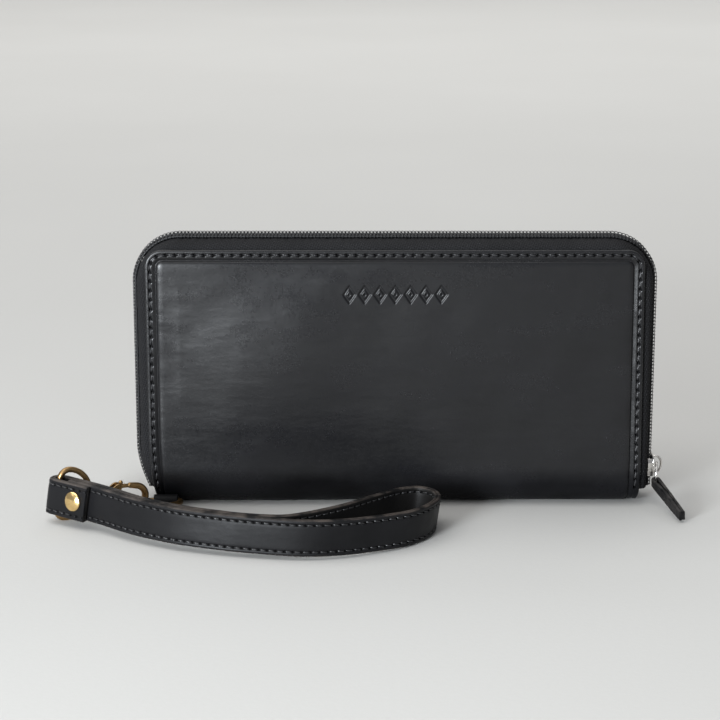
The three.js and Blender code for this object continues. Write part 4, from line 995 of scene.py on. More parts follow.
def build_slider():
    """Slider body seen from outside: waisted plate, side flanges, under plate, wedge and bridge."""
    low, high = node_box("zip_slider")
    plate_in = coil_high[0] + 0.1
    plate_out = plate_in + 0.9
    z = SLIDER_Z
    plan = smooth_outline(
        [
            (-4.6, z + 1.6), (-3.6, z + 4.0), (3.6, z + 4.0), (4.6, z + 1.6),
            (4.35, z - 1.8), (3.9, z - 4.0), (-3.9, z - 4.0), (-4.35, z - 1.8),
        ],
        1.4,
    )
    parts = [rounded_slab(plan, plate_in, plate_out, 0.45)]
    parts.append(rounded_slab(plan, low[0], low[0] + 1.0, 0.3))
    for side in (-1, 1):
        flange = smooth_outline(
            [
                (side * 3.7, z + 3.2), (side * 4.55, z + 1.5), (side * 4.4, z - 1.8), (side * 4.0, z - 3.8),
                (side * 3.7, z - 3.6), (side * 3.7, z + 1.5),
            ],
            0.4,
        )
        if side < 0:
            flange = flange[::-1]
        parts.append(rounded_slab(flange[::-1], plate_in - 1.7, plate_out - 0.3, 0.25))
    wedge = smooth_outline([(-0.24, z + 3.6), (0.24, z + 3.6), (0.24, z + 1.4), (-0.24, z + 1.4)], 0.1)
    parts.append(rounded_slab(wedge[::-1], low[0] + 0.5, plate_out - 0.4, 0.08))
    rise = RING_AT[0] + 1.82 - plate_out
    arch = catmull(
        [
            (plate_out - 0.4, 0, z - 3.2), (plate_out + rise * 0.6, 0, z - 3.0), (plate_out + rise, 0, z - 1.5),
            (plate_out + rise, 0, z + 1.5), (plate_out + rise * 0.6, 0, z + 2.9), (plate_out - 0.4, 0, z + 3.1),
        ],
        40,
    )
    parts.append(tube(arch, 0.42, sides=14, up=(0, 1, 0), flat=1.5))
    points, faces, _ = join(parts)
    piece("slider", points, faces, NICKEL, "main_zip_slider", ("zip_slider",), smooth_angle=35)


def build_pull_ring():
    turn = np.linspace(0, 2 * math.pi, 72, endpoint=False)
    ahead = RING_RADIUS * np.cos(turn)
    flat = [ahead * math.sin(RING_TURN), ahead * math.cos(RING_TURN), RING_RADIUS * np.sin(turn)]
    axis = (math.cos(RING_TURN), -math.sin(RING_TURN), 0.0)
    points, faces = tube(RING_AT + np.column_stack(flat), 0.48, sides=16, closed=True, up=axis)
    piece("ring_of_pull", points, faces, NICKEL, "main_pull_ring", ("pull_ring",), smooth_angle=80)


def rounded_strip(width, thick, corner=0.35, groove=0.0, steps=4):
    """Section of a leather strip: (across, out) points round it, from the outer face on."""
    w, h = width / 2, thick / 2
    c = min(corner, h * 0.95, w * 0.9)
    points = []
    for sx, sy, start in ((1, 1, 0), (-1, 1, 90), (-1, -1, 180), (1, -1, 270)):
        for k in range(steps + 1):
            a = math.radians(start + 90 * k / steps)
            points.append((sx * (w - c) + c * math.cos(a), sy * (h - c) + c * math.sin(a)))
    return np.array(points)


def build_pull():
    """The leather pull: one strip folded over the ring, its two ends sewn flat together."""
    line = catmull(PULL_LINE, 60)
    tangent = unit(np.gradient(line, axis=0))
    share = np.linspace(0, 1, 60)
    hole = 3
    radial = unit(np.array([0, line[hole][1] - RING_AT[1], line[hole][2] - RING_AT[2]]))
    wide = np.repeat([[0, -radial[2], radial[1]]], 60, axis=0)
    wide = unit(wide - tangent * (wide * tangent).sum(1)[:, None])
    thin = unit(np.cross(tangent, wide))
    width = np.interp(share, [0, 0.1, 0.25, 0.5, 0.8, 1.0], [3.0, 3.4, 4.3, 4.9, 4.4, 3.6])
    ply = 1.1
    eye = 1.2
    gap = np.interp(share, [0, 0.1, 0.22, 0.45, 1.0], [eye, eye, 0.95, 0.62, 0.58])
    up_side = line + thin * gap[:, None]
    down_side = line - thin * gap[:, None]
    centre = line[hole]
    over = []
    for a in np.linspace(0, math.pi, 13):
        over.append(centre + thin[hole] * eye * math.cos(a) - tangent[hole] * eye * math.sin(a))
    start = hole + 1
    path = np.vstack([up_side[:start - 1:-1], over, down_side[start:]])
    wides = np.vstack([wide[:start - 1:-1], np.repeat(wide[hole][None], 13, 0), wide[start:]])
    widths = np.concatenate([width[:start - 1:-1], np.full(13, width[hole]), width[start:]])
    tangents = unit(np.gradient(path, axis=0))
    wides = unit(wides - tangents * (wides * tangents).sum(1)[:, None])
    outs = np.cross(wides, tangents)
    sections = np.stack([rounded_strip(w, ply, 0.32) for w in widths])
    points, faces = extrude_section(path, wides, outs, sections)
    edge = np.abs(sections[:, :, 0])
    from_edge = widths[:, None] / 2 - edge
    along = np.linspace(0, length_of(path), len(path))[:, None] * np.ones((1, sections.shape[1]))
    seam = np.stack([along, from_edge], -1).reshape(-1, 2)
    piece("pull_strip", points, faces, PULL_LOOK, "main_pull_leather", ("leather_pull",), seam, smooth_angle=60)
    parts = []
    for side in (-1, 1):
        for face, at in ((1, up_side), (-1, down_side)):
            keep = slice(14, 56)
            run = at[keep] + wide[keep] * (width[keep] / 2 - 1.1)[:, None] * side + thin[keep] * face * (ply / 2 - 0.1)
            parts.append(stitches(run, thin[keep] * face, 1.9, 2.6, 0.2, 0.12, 0.05)[:2])
    points, faces, _ = join(parts)
    piece("pull_stitches", points, faces, STRAP_THREAD, "main_pull_leather")


# ---------------------------------------------------------------- tab, ring and clasp


def walk(pieces_, count):
    """Evenly spaced points round a closed outline of lines and arcs given as point lists."""
    path = np.vstack(pieces_ + [pieces_[0][:1]])
    return resample(path, count + 1)[:-1]


def arc(centre, rx, ry, start, end, steps=24):
    a = np.linspace(start, end, steps)
    return np.column_stack([centre[0] + rx * np.cos(a), centre[1] + ry * np.sin(a)])


def build_spine_ring():
    h, s, c = 8.4, 2.25, 1.6
    flat = walk(
        [
            np.array([[h - c, 0], [-h + c, 0]]),
            arc((-h + c, -c), c, c, math.pi / 2, math.pi),
            arc((0, -s), h, h, math.pi, 2 * math.pi, 48),
            arc((h - c, -c), c, c, 0, math.pi / 2),
        ],
        150,
    )
    tilt = -math.radians(SPINE_RING_TILT)
    path = np.column_stack([flat[:, 0], flat[:, 1] * math.cos(tilt), flat[:, 1] * math.sin(tilt)])
    points, faces = tube(path + SPINE_RING_AT, 1.1, sides=18, closed=True, up=(0, -math.sin(tilt), math.cos(tilt)))
    piece("ring_on_spine", points, faces, ANTIQUE, "ring", ("spine_ring",), smooth_angle=80)


def build_spine_tab():
    """Leather loop that holds the ring: out from under the spine, round the ring and back."""
    centre = SPINE_RING_AT[1:]
    mid = 1.5 + 0.45
    turn = np.radians(np.linspace(80, 262, 30))
    loop = np.column_stack([centre[0] + mid * np.cos(turn), centre[1] + mid * np.sin(turn)])
    upper = catmull([(-5.2, 1.9), (-7.4, 2.2), (-10.4, 3.9), tuple(loop[0])], 16)[:-1]
    lower = catmull([tuple(loop[-1]), (-10.6, 1.15), (-7.6, 0.85), (-5.2, 0.9)], 16)[1:]
    flat = np.vstack([upper, loop, lower])
    path = np.column_stack([np.full(len(flat), sum(TAB_X) / 2), flat])
    tangent = unit(np.gradient(path, axis=0))
    side = np.repeat([[1.0, 0, 0]], len(path), 0)
    out = np.cross(tangent, side)
    section = rounded_strip(TAB_X[1] - TAB_X[0], 0.9, 0.3)
    points, faces = extrude_section(path, side, out, section)
    piece("tab_on_spine", points, faces, TAB_LOOK, "wallet", ("spine_tab",), smooth_angle=60)


def clasp_axes():
    along = unit(CLASP_DIRECTION)
    flat = unit(np.array([along[0], along[1], 0.0]))
    out = np.cross(flat, [0, 0, 1.0])
    up = np.cross(out, along)
    return np.array([along, up, out])


def build_clasp():
    axes = clasp_axes()
    barrel = lathe([(-1.2, 1.45), (-1.25, 2.3), (-1.05, 2.75), (-0.6, 2.98), (0.0, 3.0), (0.35, 2.72), (0.6, 2.72), (0.9, 3.0), (2.2, 3.0), (3.4, 2.9), (4.3, 2.5), (4.9, 1.9), (5.2, 1.2)], 40)
    bend = np.radians(np.linspace(-90, 90, 26))
    hook_line = np.vstack([
        [(3.0, -1.2), (4.6, -3.0), (6.4, -3.75)],
        [(7.6, -3.9), (10.0, -3.9)],
        np.column_stack([12.6 + 3.9 * np.cos(bend), 3.9 * np.sin(bend)]),
        [(11.2, 3.95), (9.9, 3.95)],
    ])
    hook_path = catmull(np.column_stack([hook_line, np.zeros(len(hook_line))]), 80)
    share = np.linspace(0, 1, 80)
    radius = np.interp(share, [0, 0.15, 0.4, 0.7, 0.9, 1.0], [1.7, 1.5, 1.35, 1.3, 1.2, 1.05])
    hook = tube(hook_path, radius, sides=16, up=(0, 0, 1), flat=1.15)
    ears = []
    for side in (-1, 1):
        outline = smooth_outline([(2.4, 0.6), (6.3, 2.2), (6.4, 4.4), (4.3, 4.6), (2.2, 2.6)], 0.9)
        slab = rounded_slab(outline, side * 1.6 - 0.32, side * 1.6 + 0.32, 0.2)
        ears.append((slab[0][:, [1, 2, 0]], slab[1]))
    points, faces, _ = join([barrel, hook] + ears)
    piece("clasp_body", place(points, axes, CLASP_AT), faces, ANTIQUE, "clasp", ("clasp_hook",), smooth_angle=55)
    gate_line = catmull([(5.15, 3.3, 0), (6.4, 3.5, 0), (7.9, 3.72, 0), (9.3, 3.8, 0)], 24)
    gate = tube(gate_line, np.linspace(0.95, 0.72, 24), sides=14, up=(0, 0, 1))
    thumb_line = catmull([(5.5, 3.5, 0), (5.9, 4.2, 0), (6.15, 4.9, 0)], 12)
    thumb = tube(thumb_line, np.interp(np.linspace(0, 1, 12), [0, 0.5, 1], [0.75, 0.72, 0.85]), sides=14, up=(0, 0, 1))
    points, faces, _ = join([gate, thumb])
    piece("gate_lever", place(points, axes, CLASP_AT), faces, ANTIQUE, "gate", ("clasp_gate",), smooth_angle=60)
    pin = lathe([(-2.15, 0.25), (-2.12, 0.55), (-1.95, 0.68), (-1.85, 0.45), (1.85, 0.45), (1.95, 0.68), (2.12, 0.55), (2.15, 0.25)], 20)
    pin_points = pin[0][:, [1, 2, 0]] + np.array([5.15, 3.3, 0])
    piece("gate_rivet", place(pin_points, axes, CLASP_AT), pin[1], ANTIQUE, "clasp", ("clasp_gate_pin",))
    build_eye(axes)


def build_eye(axes):
    bar, half, front, c = -17.5, 9.3, -5.5, 3.6
    depth = front - bar
    flat = walk(
        [
            np.array([[bar, half - c], [bar, -half + c]]),
            arc((bar + c, -half + c), c, c, math.pi, 1.5 * math.pi),
            arc((bar + c, 0), depth - c, half, -math.pi / 2, math.pi / 2, 48),
            arc((bar + c, half - c), c, c, math.pi / 2, math.pi),
        ],
        160,
    )
    loop = tube(np.column_stack([flat, np.zeros(len(flat))]), 1.1, sides=18, closed=True, up=(0, 0, 1))
    stem = lathe([(-6.4, 0.9), (-6.35, 1.6), (-6.0, 1.9), (-4.6, 1.9), (-4.2, 1.75), (-4.0, 1.05), (0.9, 1.0), (1.1, 1.85), (2.6, 1.85), (2.7, 1.0)], 30)
    points, faces, _ = join([loop, stem])
    piece("swivel_loop", place(points, axes, CLASP_AT), faces, ANTIQUE, "eye", ("swivel_eye",), smooth_angle=60)


# ---------------------------------------------------------------- wrist strap


def strap_plan():
    """The strap's centre line from above, as the CAD part has it."""
    stack = catmull(STRAP_STACK, 1200)
    total = length_of(stack)
    tangent = unit(np.gradient(stack, axis=0))

    def beside(distance, offset):
        k = min(len(stack) - 1, int(round(distance / total * (len(stack) - 1))))
        return stack[k] + offset * np.array([tangent[k][1], -tangent[k][0]])

    eye = np.array(STRAP_STACK[0])
    start = tangent[0]
    fold = []
    for degrees in (150, 120, 90, 60, 30):
        a = math.radians(degrees)
        across = -STRAP_PITCH * math.cos(a)
        back = STRAP_PITCH * math.sin(a)
        fold.append(eye - back * start + across * np.array([start[1], -start[0]]))
    points = [beside(d, STRAP_PITCH) for d in (16.4, 12, 8, 4, 1)]
    points += fold
    points += [beside(d, -STRAP_PITCH) for d in (1, 4, 8, 12, 16, 22, 28, 34, 40, 48, 56, 64, 72, 80)]
    points += [np.array(p) for p in STRAP_LOOP]
    points += [beside(d, 0) for d in (80, 72, 64, 56, 48, 40, 34, 28, 22, 16, 12, 8, 4.9)]
    return np.array(points)


def strap_lift(x):
    return 0.25 + 0.0235 * (15 - x)


def strap_surface(plan, across, out):
    """Points of the strap: across is their height from the middle, out the side of the outer face."""
    tangent = unit(np.gradient(plan, axis=0))
    z = strap_lift(plan[:, 0]) + STRAP_WIDTH / 2 + across
    x = plan[:, 0] - tangent[:, 1] * out + STRAP_LEAN[0] * (z - STRAP_LEAN_LEVEL)
    y = plan[:, 1] + tangent[:, 0] * out + STRAP_LEAN[1] * (z - STRAP_LEAN_LEVEL)
    return np.column_stack([x, y, z])


def strap_section(side):
    """(across, out) points of one ply; side +1 is the outer ply."""
    half = STRAP_WIDTH / 2
    seam = half - STRAP_STITCH_INSET
    upper = [
        (half, 0.5), (half - 0.05, 0.78), (half - 0.16, 0.98), (half - 0.34, 1.12), (half - 0.7, 1.2), (half - 1.15, 1.18),
        (seam + 0.42, 1.12), (seam + 0.22, 1.07), (seam, 1.03), (seam - 0.22, 1.07), (seam - 0.42, 1.12),
        (seam - 0.7, 1.18), (seam - 1.4, 1.22), (1.6, 1.24), (0.0, 1.25),
    ]
    face = upper + [(-a, o) for a, o in upper[-2::-1]]
    under = [(-half + 0.02, 0.16), (-half + 0.12, 0.04), (-2.0, 0.02), (2.0, 0.02), (half - 0.12, 0.04), (half - 0.02, 0.16)]
    section = np.array(face + under)
    section[:, 1] *= side
    return section


def strap_ply(name, side, plan, look, node):
    section = strap_section(side)
    total = length_of(plan)
    along = np.linspace(0, total, len(plan))
    # short ends are rounded in by a first and a last ring
    seam_side = np.abs(STRAP_WIDTH / 2 - np.abs(section[:, 0]) - STRAP_STITCH_INSET)
    on_face = np.abs(section[:, 1]) > 0.9
    columns = []
    for (a, o), off, faced in zip(section, seam_side, on_face):
        near = np.clip(1.2 - (off / 0.34) ** 2, 0, 1) * faced
        hole = np.abs(along / STRAP_STITCH_PITCH - np.round(along / STRAP_STITCH_PITCH)) * STRAP_STITCH_PITCH
        sink = 0.5 * near * np.clip(1.25 - (hole / 0.6) ** 2, 0, 1)
        columns.append(strap_surface(plan, a, o - side * sink))
    rings = np.stack(columns, 1)
    middle = rings.mean(1)
    first = middle[0] + (rings[0] - middle[0]) * np.array([0.98, 0.98, 0.98])
    tangent = unit(np.gradient(middle, axis=0))
    rings = np.concatenate([[first - tangent[0] * 0.12], rings, [middle[-1] + (rings[-1] - middle[-1]) * 0.98 + tangent[-1] * 0.12]])
    along = np.concatenate([[along[0] - 0.12], along, [along[-1] + 0.12]])
    rows, cols = rings.shape[:2]
    faces = grid_quads(rows, cols, wrap_cols=True).tolist()
    faces.append(list(range(cols))[::-1])
    faces.append([(rows - 1) * cols + k for k in range(cols)])
    if side > 0:
        faces = [f[::-1] for f in faces]
    from_edge = STRAP_WIDTH / 2 - np.abs(section[:, 0])
    seam = np.stack([np.repeat(along[:, None], cols, 1), np.repeat(from_edge[None], rows, 0)], -1)
    return piece(name, rings.reshape(-1, 3), faces, look, "strap", (node,), seam.reshape(-1, 2), smooth_angle=60)


def strap_stitches(plan):
    parts = []
    for side in (-1, 1):
        for row in (-1, 1):
            across = row * (STRAP_WIDTH / 2 - STRAP_STITCH_INSET)
            at = strap_surface(plan, across, side * 1.06)
            over = strap_surface(plan, across, side * 2.0)
            seam_along = np.linspace(0, length_of(plan), len(plan))
            keep = slice(12, -12)
            run = stitches(
                at[keep], unit(over - at)[keep], 2.25, STRAP_STITCH_PITCH, 0.25, 0.14 * side, 0.08, seam_along[keep]
            )
            parts.append(run[:2])
    points, faces, _ = join(parts)
    piece("strap_stitches", points, faces, STRAP_THREAD, "strap")


def rivet_axes():
    stack = catmull(STRAP_STACK, 1200)
    k = int(np.argmin(np.linalg.norm(stack - np.array(RIVET_PLAN), axis=1)))
    tangent = unit(np.append(-(stack[k + 1] - stack[k]), 0.0))
    upright = unit(np.array([STRAP_LEAN[0], STRAP_LEAN[1], 1.0]))
    forward = unit(np.cross(upright, tangent))
    level = strap_lift(RIVET_PLAN[0]) + STRAP_WIDTH / 2
    at = np.array([*RIVET_PLAN, level])
    return np.array([forward, upright, np.cross(forward, upright)]), at


def build_rivet():
    axes, at = rivet_axes()
    cap_low, _ = node_box("strap_rivet_cap")
    facing = 1.0 if axes[0][1] < 0 else -1.0
    cap = lathe([(3.75, 1.2), (3.9, 3.3), (4.05, 3.58), (4.35, 3.62), (4.6, 3.45), (4.72, 3.05), (4.98, 2.6), (5.2, 1.9), (5.32, 1.1), (5.35, 0.3)], 48)
    post = lathe([(-3.9, 0.6), (-3.85, 1.2), (3.9, 1.2), (3.95, 0.6)], 20)
    points, faces, _ = join([cap, post])
    points[:, 0] *= facing
    if facing < 0:
        faces = [f[::-1] for f in faces]
    piece("rivet_cap", place(points, axes, at), faces, POLISHED, "strap", ("strap_rivet_cap",), smooth_angle=45)
    back = lathe([(3.8, 1.0), (3.95, 3.2), (4.1, 3.42), (4.35, 3.42), (4.6, 3.2), (4.75, 2.3), (4.6, 1.5), (4.5, 0.4)], 44)
    points = back[0].copy()
    points[:, 0] *= -facing
    faces = back[1] if facing < 0 else [f[::-1] for f in back[1]]
    piece("rivet_back", place(points, axes, at), faces, POLISHED, "strap", ("strap_rivet_back",), smooth_angle=45)


def build_strap():
    plan = catmull(strap_plan(), 900)
    strap_ply("strap_outer_ply", 1, plan, STRAP_FACE, "strap_leather")
    strap_ply("strap_lining_ply", -1, plan, STRAP_BACK, "strap_lining")
    strap_stitches(plan)
    build_rivet()


# ---------------------------------------------------------------- inside


def soft_panel(name, node, look, body, facing, corner=2.0, pillow=0.12, ripple=0.1, pitch=2.0):
    """A sewn panel in the place of a flat CAD sheet: turned edges, slight pillow and ripples.

    facing is the Y direction in which its visible face looks.
    """
    low, high = node_box(node)
    half = (high[0] - low[0]) / 2
    tall = high[2] - low[2]
    thick = high[1] - low[1]
    mid = (high + low) / 2
    edge = np.array([0, 0.05, 0.14, 0.3, 0.6, 1.0, 1.25, 1.5, 1.75, 2.0, 2.4])
    xs = np.concatenate([-half + edge, lines_between(-half + 2.4, half - 2.4, pitch), (half - edge)[::-1]])
    zs = np.concatenate([edge, lines_between(2.4, tall - 2.4, pitch), (tall - edge)[::-1]])
    x, z = np.meshgrid(xs, zs, indexing="xy")
    distance = np.minimum(half - np.abs(x), np.minimum(z, tall - z))
    shape_d = [0, 0.05, 0.14, 0.3, 0.6, 1.0, 1.25, 1.5, 1.75, 2.0, 2.4]
    shape_h = [-0.22, -0.1, -0.03, 0.0, 0.0, 0.0, -0.03, -0.06, -0.03, 0.0, 0.01]
    rise = np.interp(distance, shape_d, shape_h)
    rise = rise + pillow * np.clip(distance / 20, 0, 1)
    flow = np.array([noise.noise(Vector((a * 0.035 + mid[1], b * 0.05, mid[2] * 0.1))) for a, b in zip(x.ravel(), z.ravel())])
    rise = rise + ripple * flow.reshape(x.shape) * np.clip(distance / 6, 0, 1)
    bend_x = np.sign(x) * (np.abs(x) - 0.0)
    outer = np.stack([mid[0] + bend_x, mid[1] + facing * (thick / 2 + rise), low[2] + z], -1)
    inner = np.stack([mid[0] + bend_x, mid[1] - facing * (thick / 2 - 0.22 * np.exp(-distance / 0.1)) + facing * (rise - np.interp(distance, shape_d, shape_h)), low[2] + z], -1)
    # rounded corners: pull the four corner areas in
    for grid in (outer, inner):
        for sx in (-1, 1):
            for sz in (-1, 1):
                u = sx * (grid[..., 0] - mid[0]) - (half - corner)
                v = sz * (grid[..., 2] - mid[2]) - (tall / 2 - corner)
                inside = (u > 0) & (v > 0)
                big = np.maximum(np.maximum(u, v), 1e-9)
                turn = np.where(u >= v, (math.pi / 4) * (v / big), math.pi / 2 - (math.pi / 4) * (u / big))
                grid[..., 0] = np.where(inside, mid[0] + sx * (half - corner + big * np.cos(turn)), grid[..., 0])
                grid[..., 2] = np.where(inside, mid[2] + sz * (tall / 2 - corner + big * np.sin(turn)), grid[..., 2])
    points, faces = shell(outer, inner)
    if facing < 0:
        faces = faces[:, ::-1]
    along = np.where(np.minimum(z, tall - z) < half - np.abs(x), x, z)
    seam = np.stack([along, distance], -1).reshape(-1, 2)
    made = piece(name, points, faces, look, body, (node,), np.concatenate([seam, seam]))
    return made


def top_edge_stitches(name, nodes, body, facing):
    """A row of stitches under the top edge of each panel."""
    parts = []
    for node in nodes:
        low, high = node_box(node)
        x = np.linspace(low[0] + 2.2, high[0] - 2.2, 200)
        y = (high[1] if facing > 0 else low[1]) + facing * 0.0
        path = np.column_stack([x, np.full(200, y), np.full(200, high[2] - 1.5)])
        out = np.repeat([[0.0, float(facing), 0.0]], 200, 0)
        parts.append(stitches(path, out, 2.1, 3.0, 0.17, 0.12, 0.04)[:2])
    points, faces, _ = join(parts)
    piece(name, points, faces, THREAD_LOOK, body)


def gusset_piece(name, node, cover_y, coin_y):
    """A folded cloth gusset that opens between a cover and the coin pocket."""
    low, high = node_box(node)
    end = 1 if high[0] > 0 else -1
    x_out = max(abs(low[0]), abs(high[0])) - 0.3
    x_fold = min(abs(low[0]), abs(high[0])) + 0.3
    middle = (cover_y + coin_y) / 2
    section = catmull([(x_out, cover_y), (x_out - 0.9, cover_y + (middle - cover_y) * 0.25), (x_fold, middle), (x_out - 0.9, coin_y + (middle - coin_y) * 0.25), (x_out, coin_y)], 33)
    # the cloth's thickness is set off sideways only, so each edge stays wholly beside its neighbour
    across = np.array([1.0, 0.0])
    zs = np.linspace(low[2], high[2], 60)
    outer, inner = [], []
    for z in zs:
        soften = 0.25 * math.sin(z * 0.21) + 0.15 * math.sin(z * 0.53 + 1.0)
        drawn = section + np.column_stack([np.sin(np.linspace(0, math.pi, 33)) * soften, np.zeros(33)])
        a = drawn + across * 0.2
        b = drawn - across * 0.2
        outer.append(np.column_stack([end * a[:, 0], a[:, 1], np.full(33, z)]))
        inner.append(np.column_stack([end * b[:, 0], b[:, 1], np.full(33, z)]))
    outer, inner = np.array(outer), np.array(inner)
    points, faces = shell(outer, inner)
    widths = np.concatenate([[0], np.cumsum(np.linalg.norm(np.diff(section, axis=0), axis=1))])
    w, s = np.meshgrid(widths, zs, indexing="xy")
    seam = np.stack([s, w], -1).reshape(-1, 2)
    made = piece(name, points, faces, CLOTH, None, (node,), np.concatenate([seam, seam]))
    fix_normals(made)
    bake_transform(made)


def fix_normals(made):
    import bmesh

    work = bmesh.new()
    work.from_mesh(made.data)
    bmesh.ops.recalc_face_normals(work, faces=work.faces)
    work.to_mesh(made.data)
    work.free()


def build_covers():
    for word, side, body in (("front", -1, "wallet"), ("back", 1, "back_cover")):
        inward = -side
        soft_panel(f"{word}_lining_cloth", f"{word}_lining", CLOTH, body, inward, 9.0, 0.0, 0.06)
        soft_panel(f"{word}_card_base", f"{word}_card_panel", INNER, body, inward, 2.0, 0.0, 0.04)
        names = []
        for k in range(1, 5):
            node = f"{word}_card_slot_{k}"
            soft_panel(f"{word}_card_pocket_{k}", node, INNER, body, inward, 1.5, 0.0, 0.03)
            names.append(node)
        top_edge_stitches(f"{word}_card_stitches", names, body, inward)
        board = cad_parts[f"{word}_board"]
        board.data.materials.clear()
        board.data.materials.append(CARD[0])
    # a side fold is drawn between its cover at one edge and the coin pocket at the other
    for word in ("left", "right"):
        low, high = node_box(f"front_gusset_{word}")
        cover_y, coin_y = low[1], high[1]
        gusset_piece(f"front_side_fold_{word}", f"front_gusset_{word}", cover_y, coin_y)
        gusset_piece(f"back_side_fold_{word}", f"back_gusset_{word}", -cover_y, -coin_y)


def build_spine_lining():
    low, high = node_box("spine_lining")
    turns = np.linspace(0.0, math.pi, 60)
    xs = np.concatenate([low[0] + np.array([0, 0.1, 0.3, 0.7]), lines_between(low[0] + 0.7, high[0] - 0.7, 2.5), high[0] - np.array([0.7, 0.3, 0.1, 0])])
    rows_out, rows_in = [], []
    for a in turns:
        ripple = 0.06 * np.sin(xs * 0.4 + 3 * a)
        edge = np.minimum(xs - low[0], high[0] - xs)
        soft = 0.25 * np.exp(-edge / 0.2)
        for store, base in ((rows_out, LEATHER + 0.12), (rows_in, LEATHER + 0.68)):
            reach = base + (soft + 0 * ripple if store is rows_out else -soft + ripple * 0.5)
            y = -(HALF_THICK - reach) * math.cos(a)
            z = SPINE_HEIGHT - (SPINE_HEIGHT - reach) * math.sin(a)
            store.append(np.column_stack([xs, y, z]))
    outer, inner = np.array(rows_out), np.array(rows_in)
    points, faces = shell(outer, inner)
    lengths = np.linspace(0, 36, len(turns))
    s, w = np.meshgrid(xs, lengths, indexing="xy")
    seam = np.stack([s, w], -1).reshape(-1, 2)
    made = piece("spine_cloth", points, faces, CLOTH, "wallet", ("spine_lining",), np.concatenate([seam, seam]))
    fix_normals(made)


def build_coin_pocket():
    for word, facing in (("front", -1), ("back", 1)):
        soft_panel(f"coin_side_{word}", f"coin_wall_{word}", CLOTH, "coin_pocket", facing, 3.0, 0.15, 0.32, 1.2)
        low, high = node_box(f"coin_coil_{word}")
        total = high[0] - low[0]
        along = np.arange(0, total, 1.1 / 12)
        turn = 2 * math.pi * (along / 1.1 + (0.5 if facing > 0 else 0.0))
        middle_z = (low[2] + high[2]) / 2
        spiral = np.column_stack([low[0] + along, facing * 1.0 - 1.0 * np.sin(turn), middle_z + 0.5 * np.cos(turn)])
        points, faces = tube(spiral, 0.24, sides=6)
        piece(f"coin_spiral_{word}", points, faces, COIL, "coin_pocket", (f"coin_coil_{word}",), smooth_angle=80)
        build_coin_tape(word, facing)
    low, high = node_box("coin_pocket_edge")
    path = np.vstack([
        [(low[0] + 0.3, 0, z) for z in np.linspace(high[2], low[2] + 3, 40)],
        [(low[0] + 0.3 + 2.7 * (1 - math.cos(a)), 0, low[2] + 3 - 2.7 * math.sin(a)) for a in np.linspace(0.1, math.pi / 2, 10)],
        [(x, 0, low[2] + 0.3) for x in np.linspace(low[0] + 4, high[0] - 4, 120)],
        [(high[0] - 3 + 2.7 * math.sin(a), 0, low[2] + 3 - 2.7 * math.cos(a)) for a in np.linspace(0, math.pi / 2 - 0.1, 10)],
        [(high[0] - 0.3, 0, z) for z in np.linspace(low[2] + 3, high[2], 40)],
    ])
    tangent, _, _ = frames_along(path, up=(0, 1, 0))
    side = np.repeat([[0, 1.0, 0]], len(path), 0)
    out = np.cross(tangent, side)
    section = rounded_strip(high[1] - low[1], 0.55, 0.2)
    points, faces = extrude_section(path, side, out, section)
    along = np.linspace(0, length_of(path), len(path))[:, None] * np.ones((1, len(section)))
    width = np.ones((len(path), 1)) * section[:, 0][None]
    made = piece("coin_binding", points, faces, CLOTH, "coin_pocket", ("coin_pocket_edge",), np.stack([along, width], -1).reshape(-1, 2), smooth_angle=60)
    fix_normals(made)
    build_coin_slider()


def build_coin_tape(word, facing):
    low, high = node_box(f"coin_tape_{word}")
    outer_y = max(abs(low[1]), abs(high[1]))
    inner_y = min(abs(low[1]), abs(high[1]))
    line = catmull([(outer_y - 0.2, low[2]), (outer_y - 0.25, high[2] - 1.2), (outer_y - 1.0, high[2] - 0.25), (inner_y + 1.2, high[2] - 0.2), (inner_y, high[2] - 0.2)], 20)
    tangent = unit(np.gradient(line, axis=0))
    bulge = np.stack([-tangent[:, 1], tangent[:, 0]], -1)
    xs = np.linspace(low[0], high[0], 120)
    outer = np.stack([np.column_stack([xs, np.full(120, facing * y), np.full(120, z)]) for y, z in line - bulge * 0.19], 1)
    inner = np.stack([np.column_stack([xs, np.full(120, facing * y), np.full(120, z)]) for y, z in line + bulge * 0.19], 1)
    points, faces = shell(outer, inner)
    widths = np.linspace(0, length_of(line), 20)
    s, w = np.meshgrid(xs, widths, indexing="ij")
    seam = np.stack([s, w], -1).reshape(-1, 2)
    made = piece(f"coin_strip_{word}", points, faces, TAPE, "coin_pocket", (f"coin_tape_{word}",), np.concatenate([seam, seam]))
    fix_normals(made)


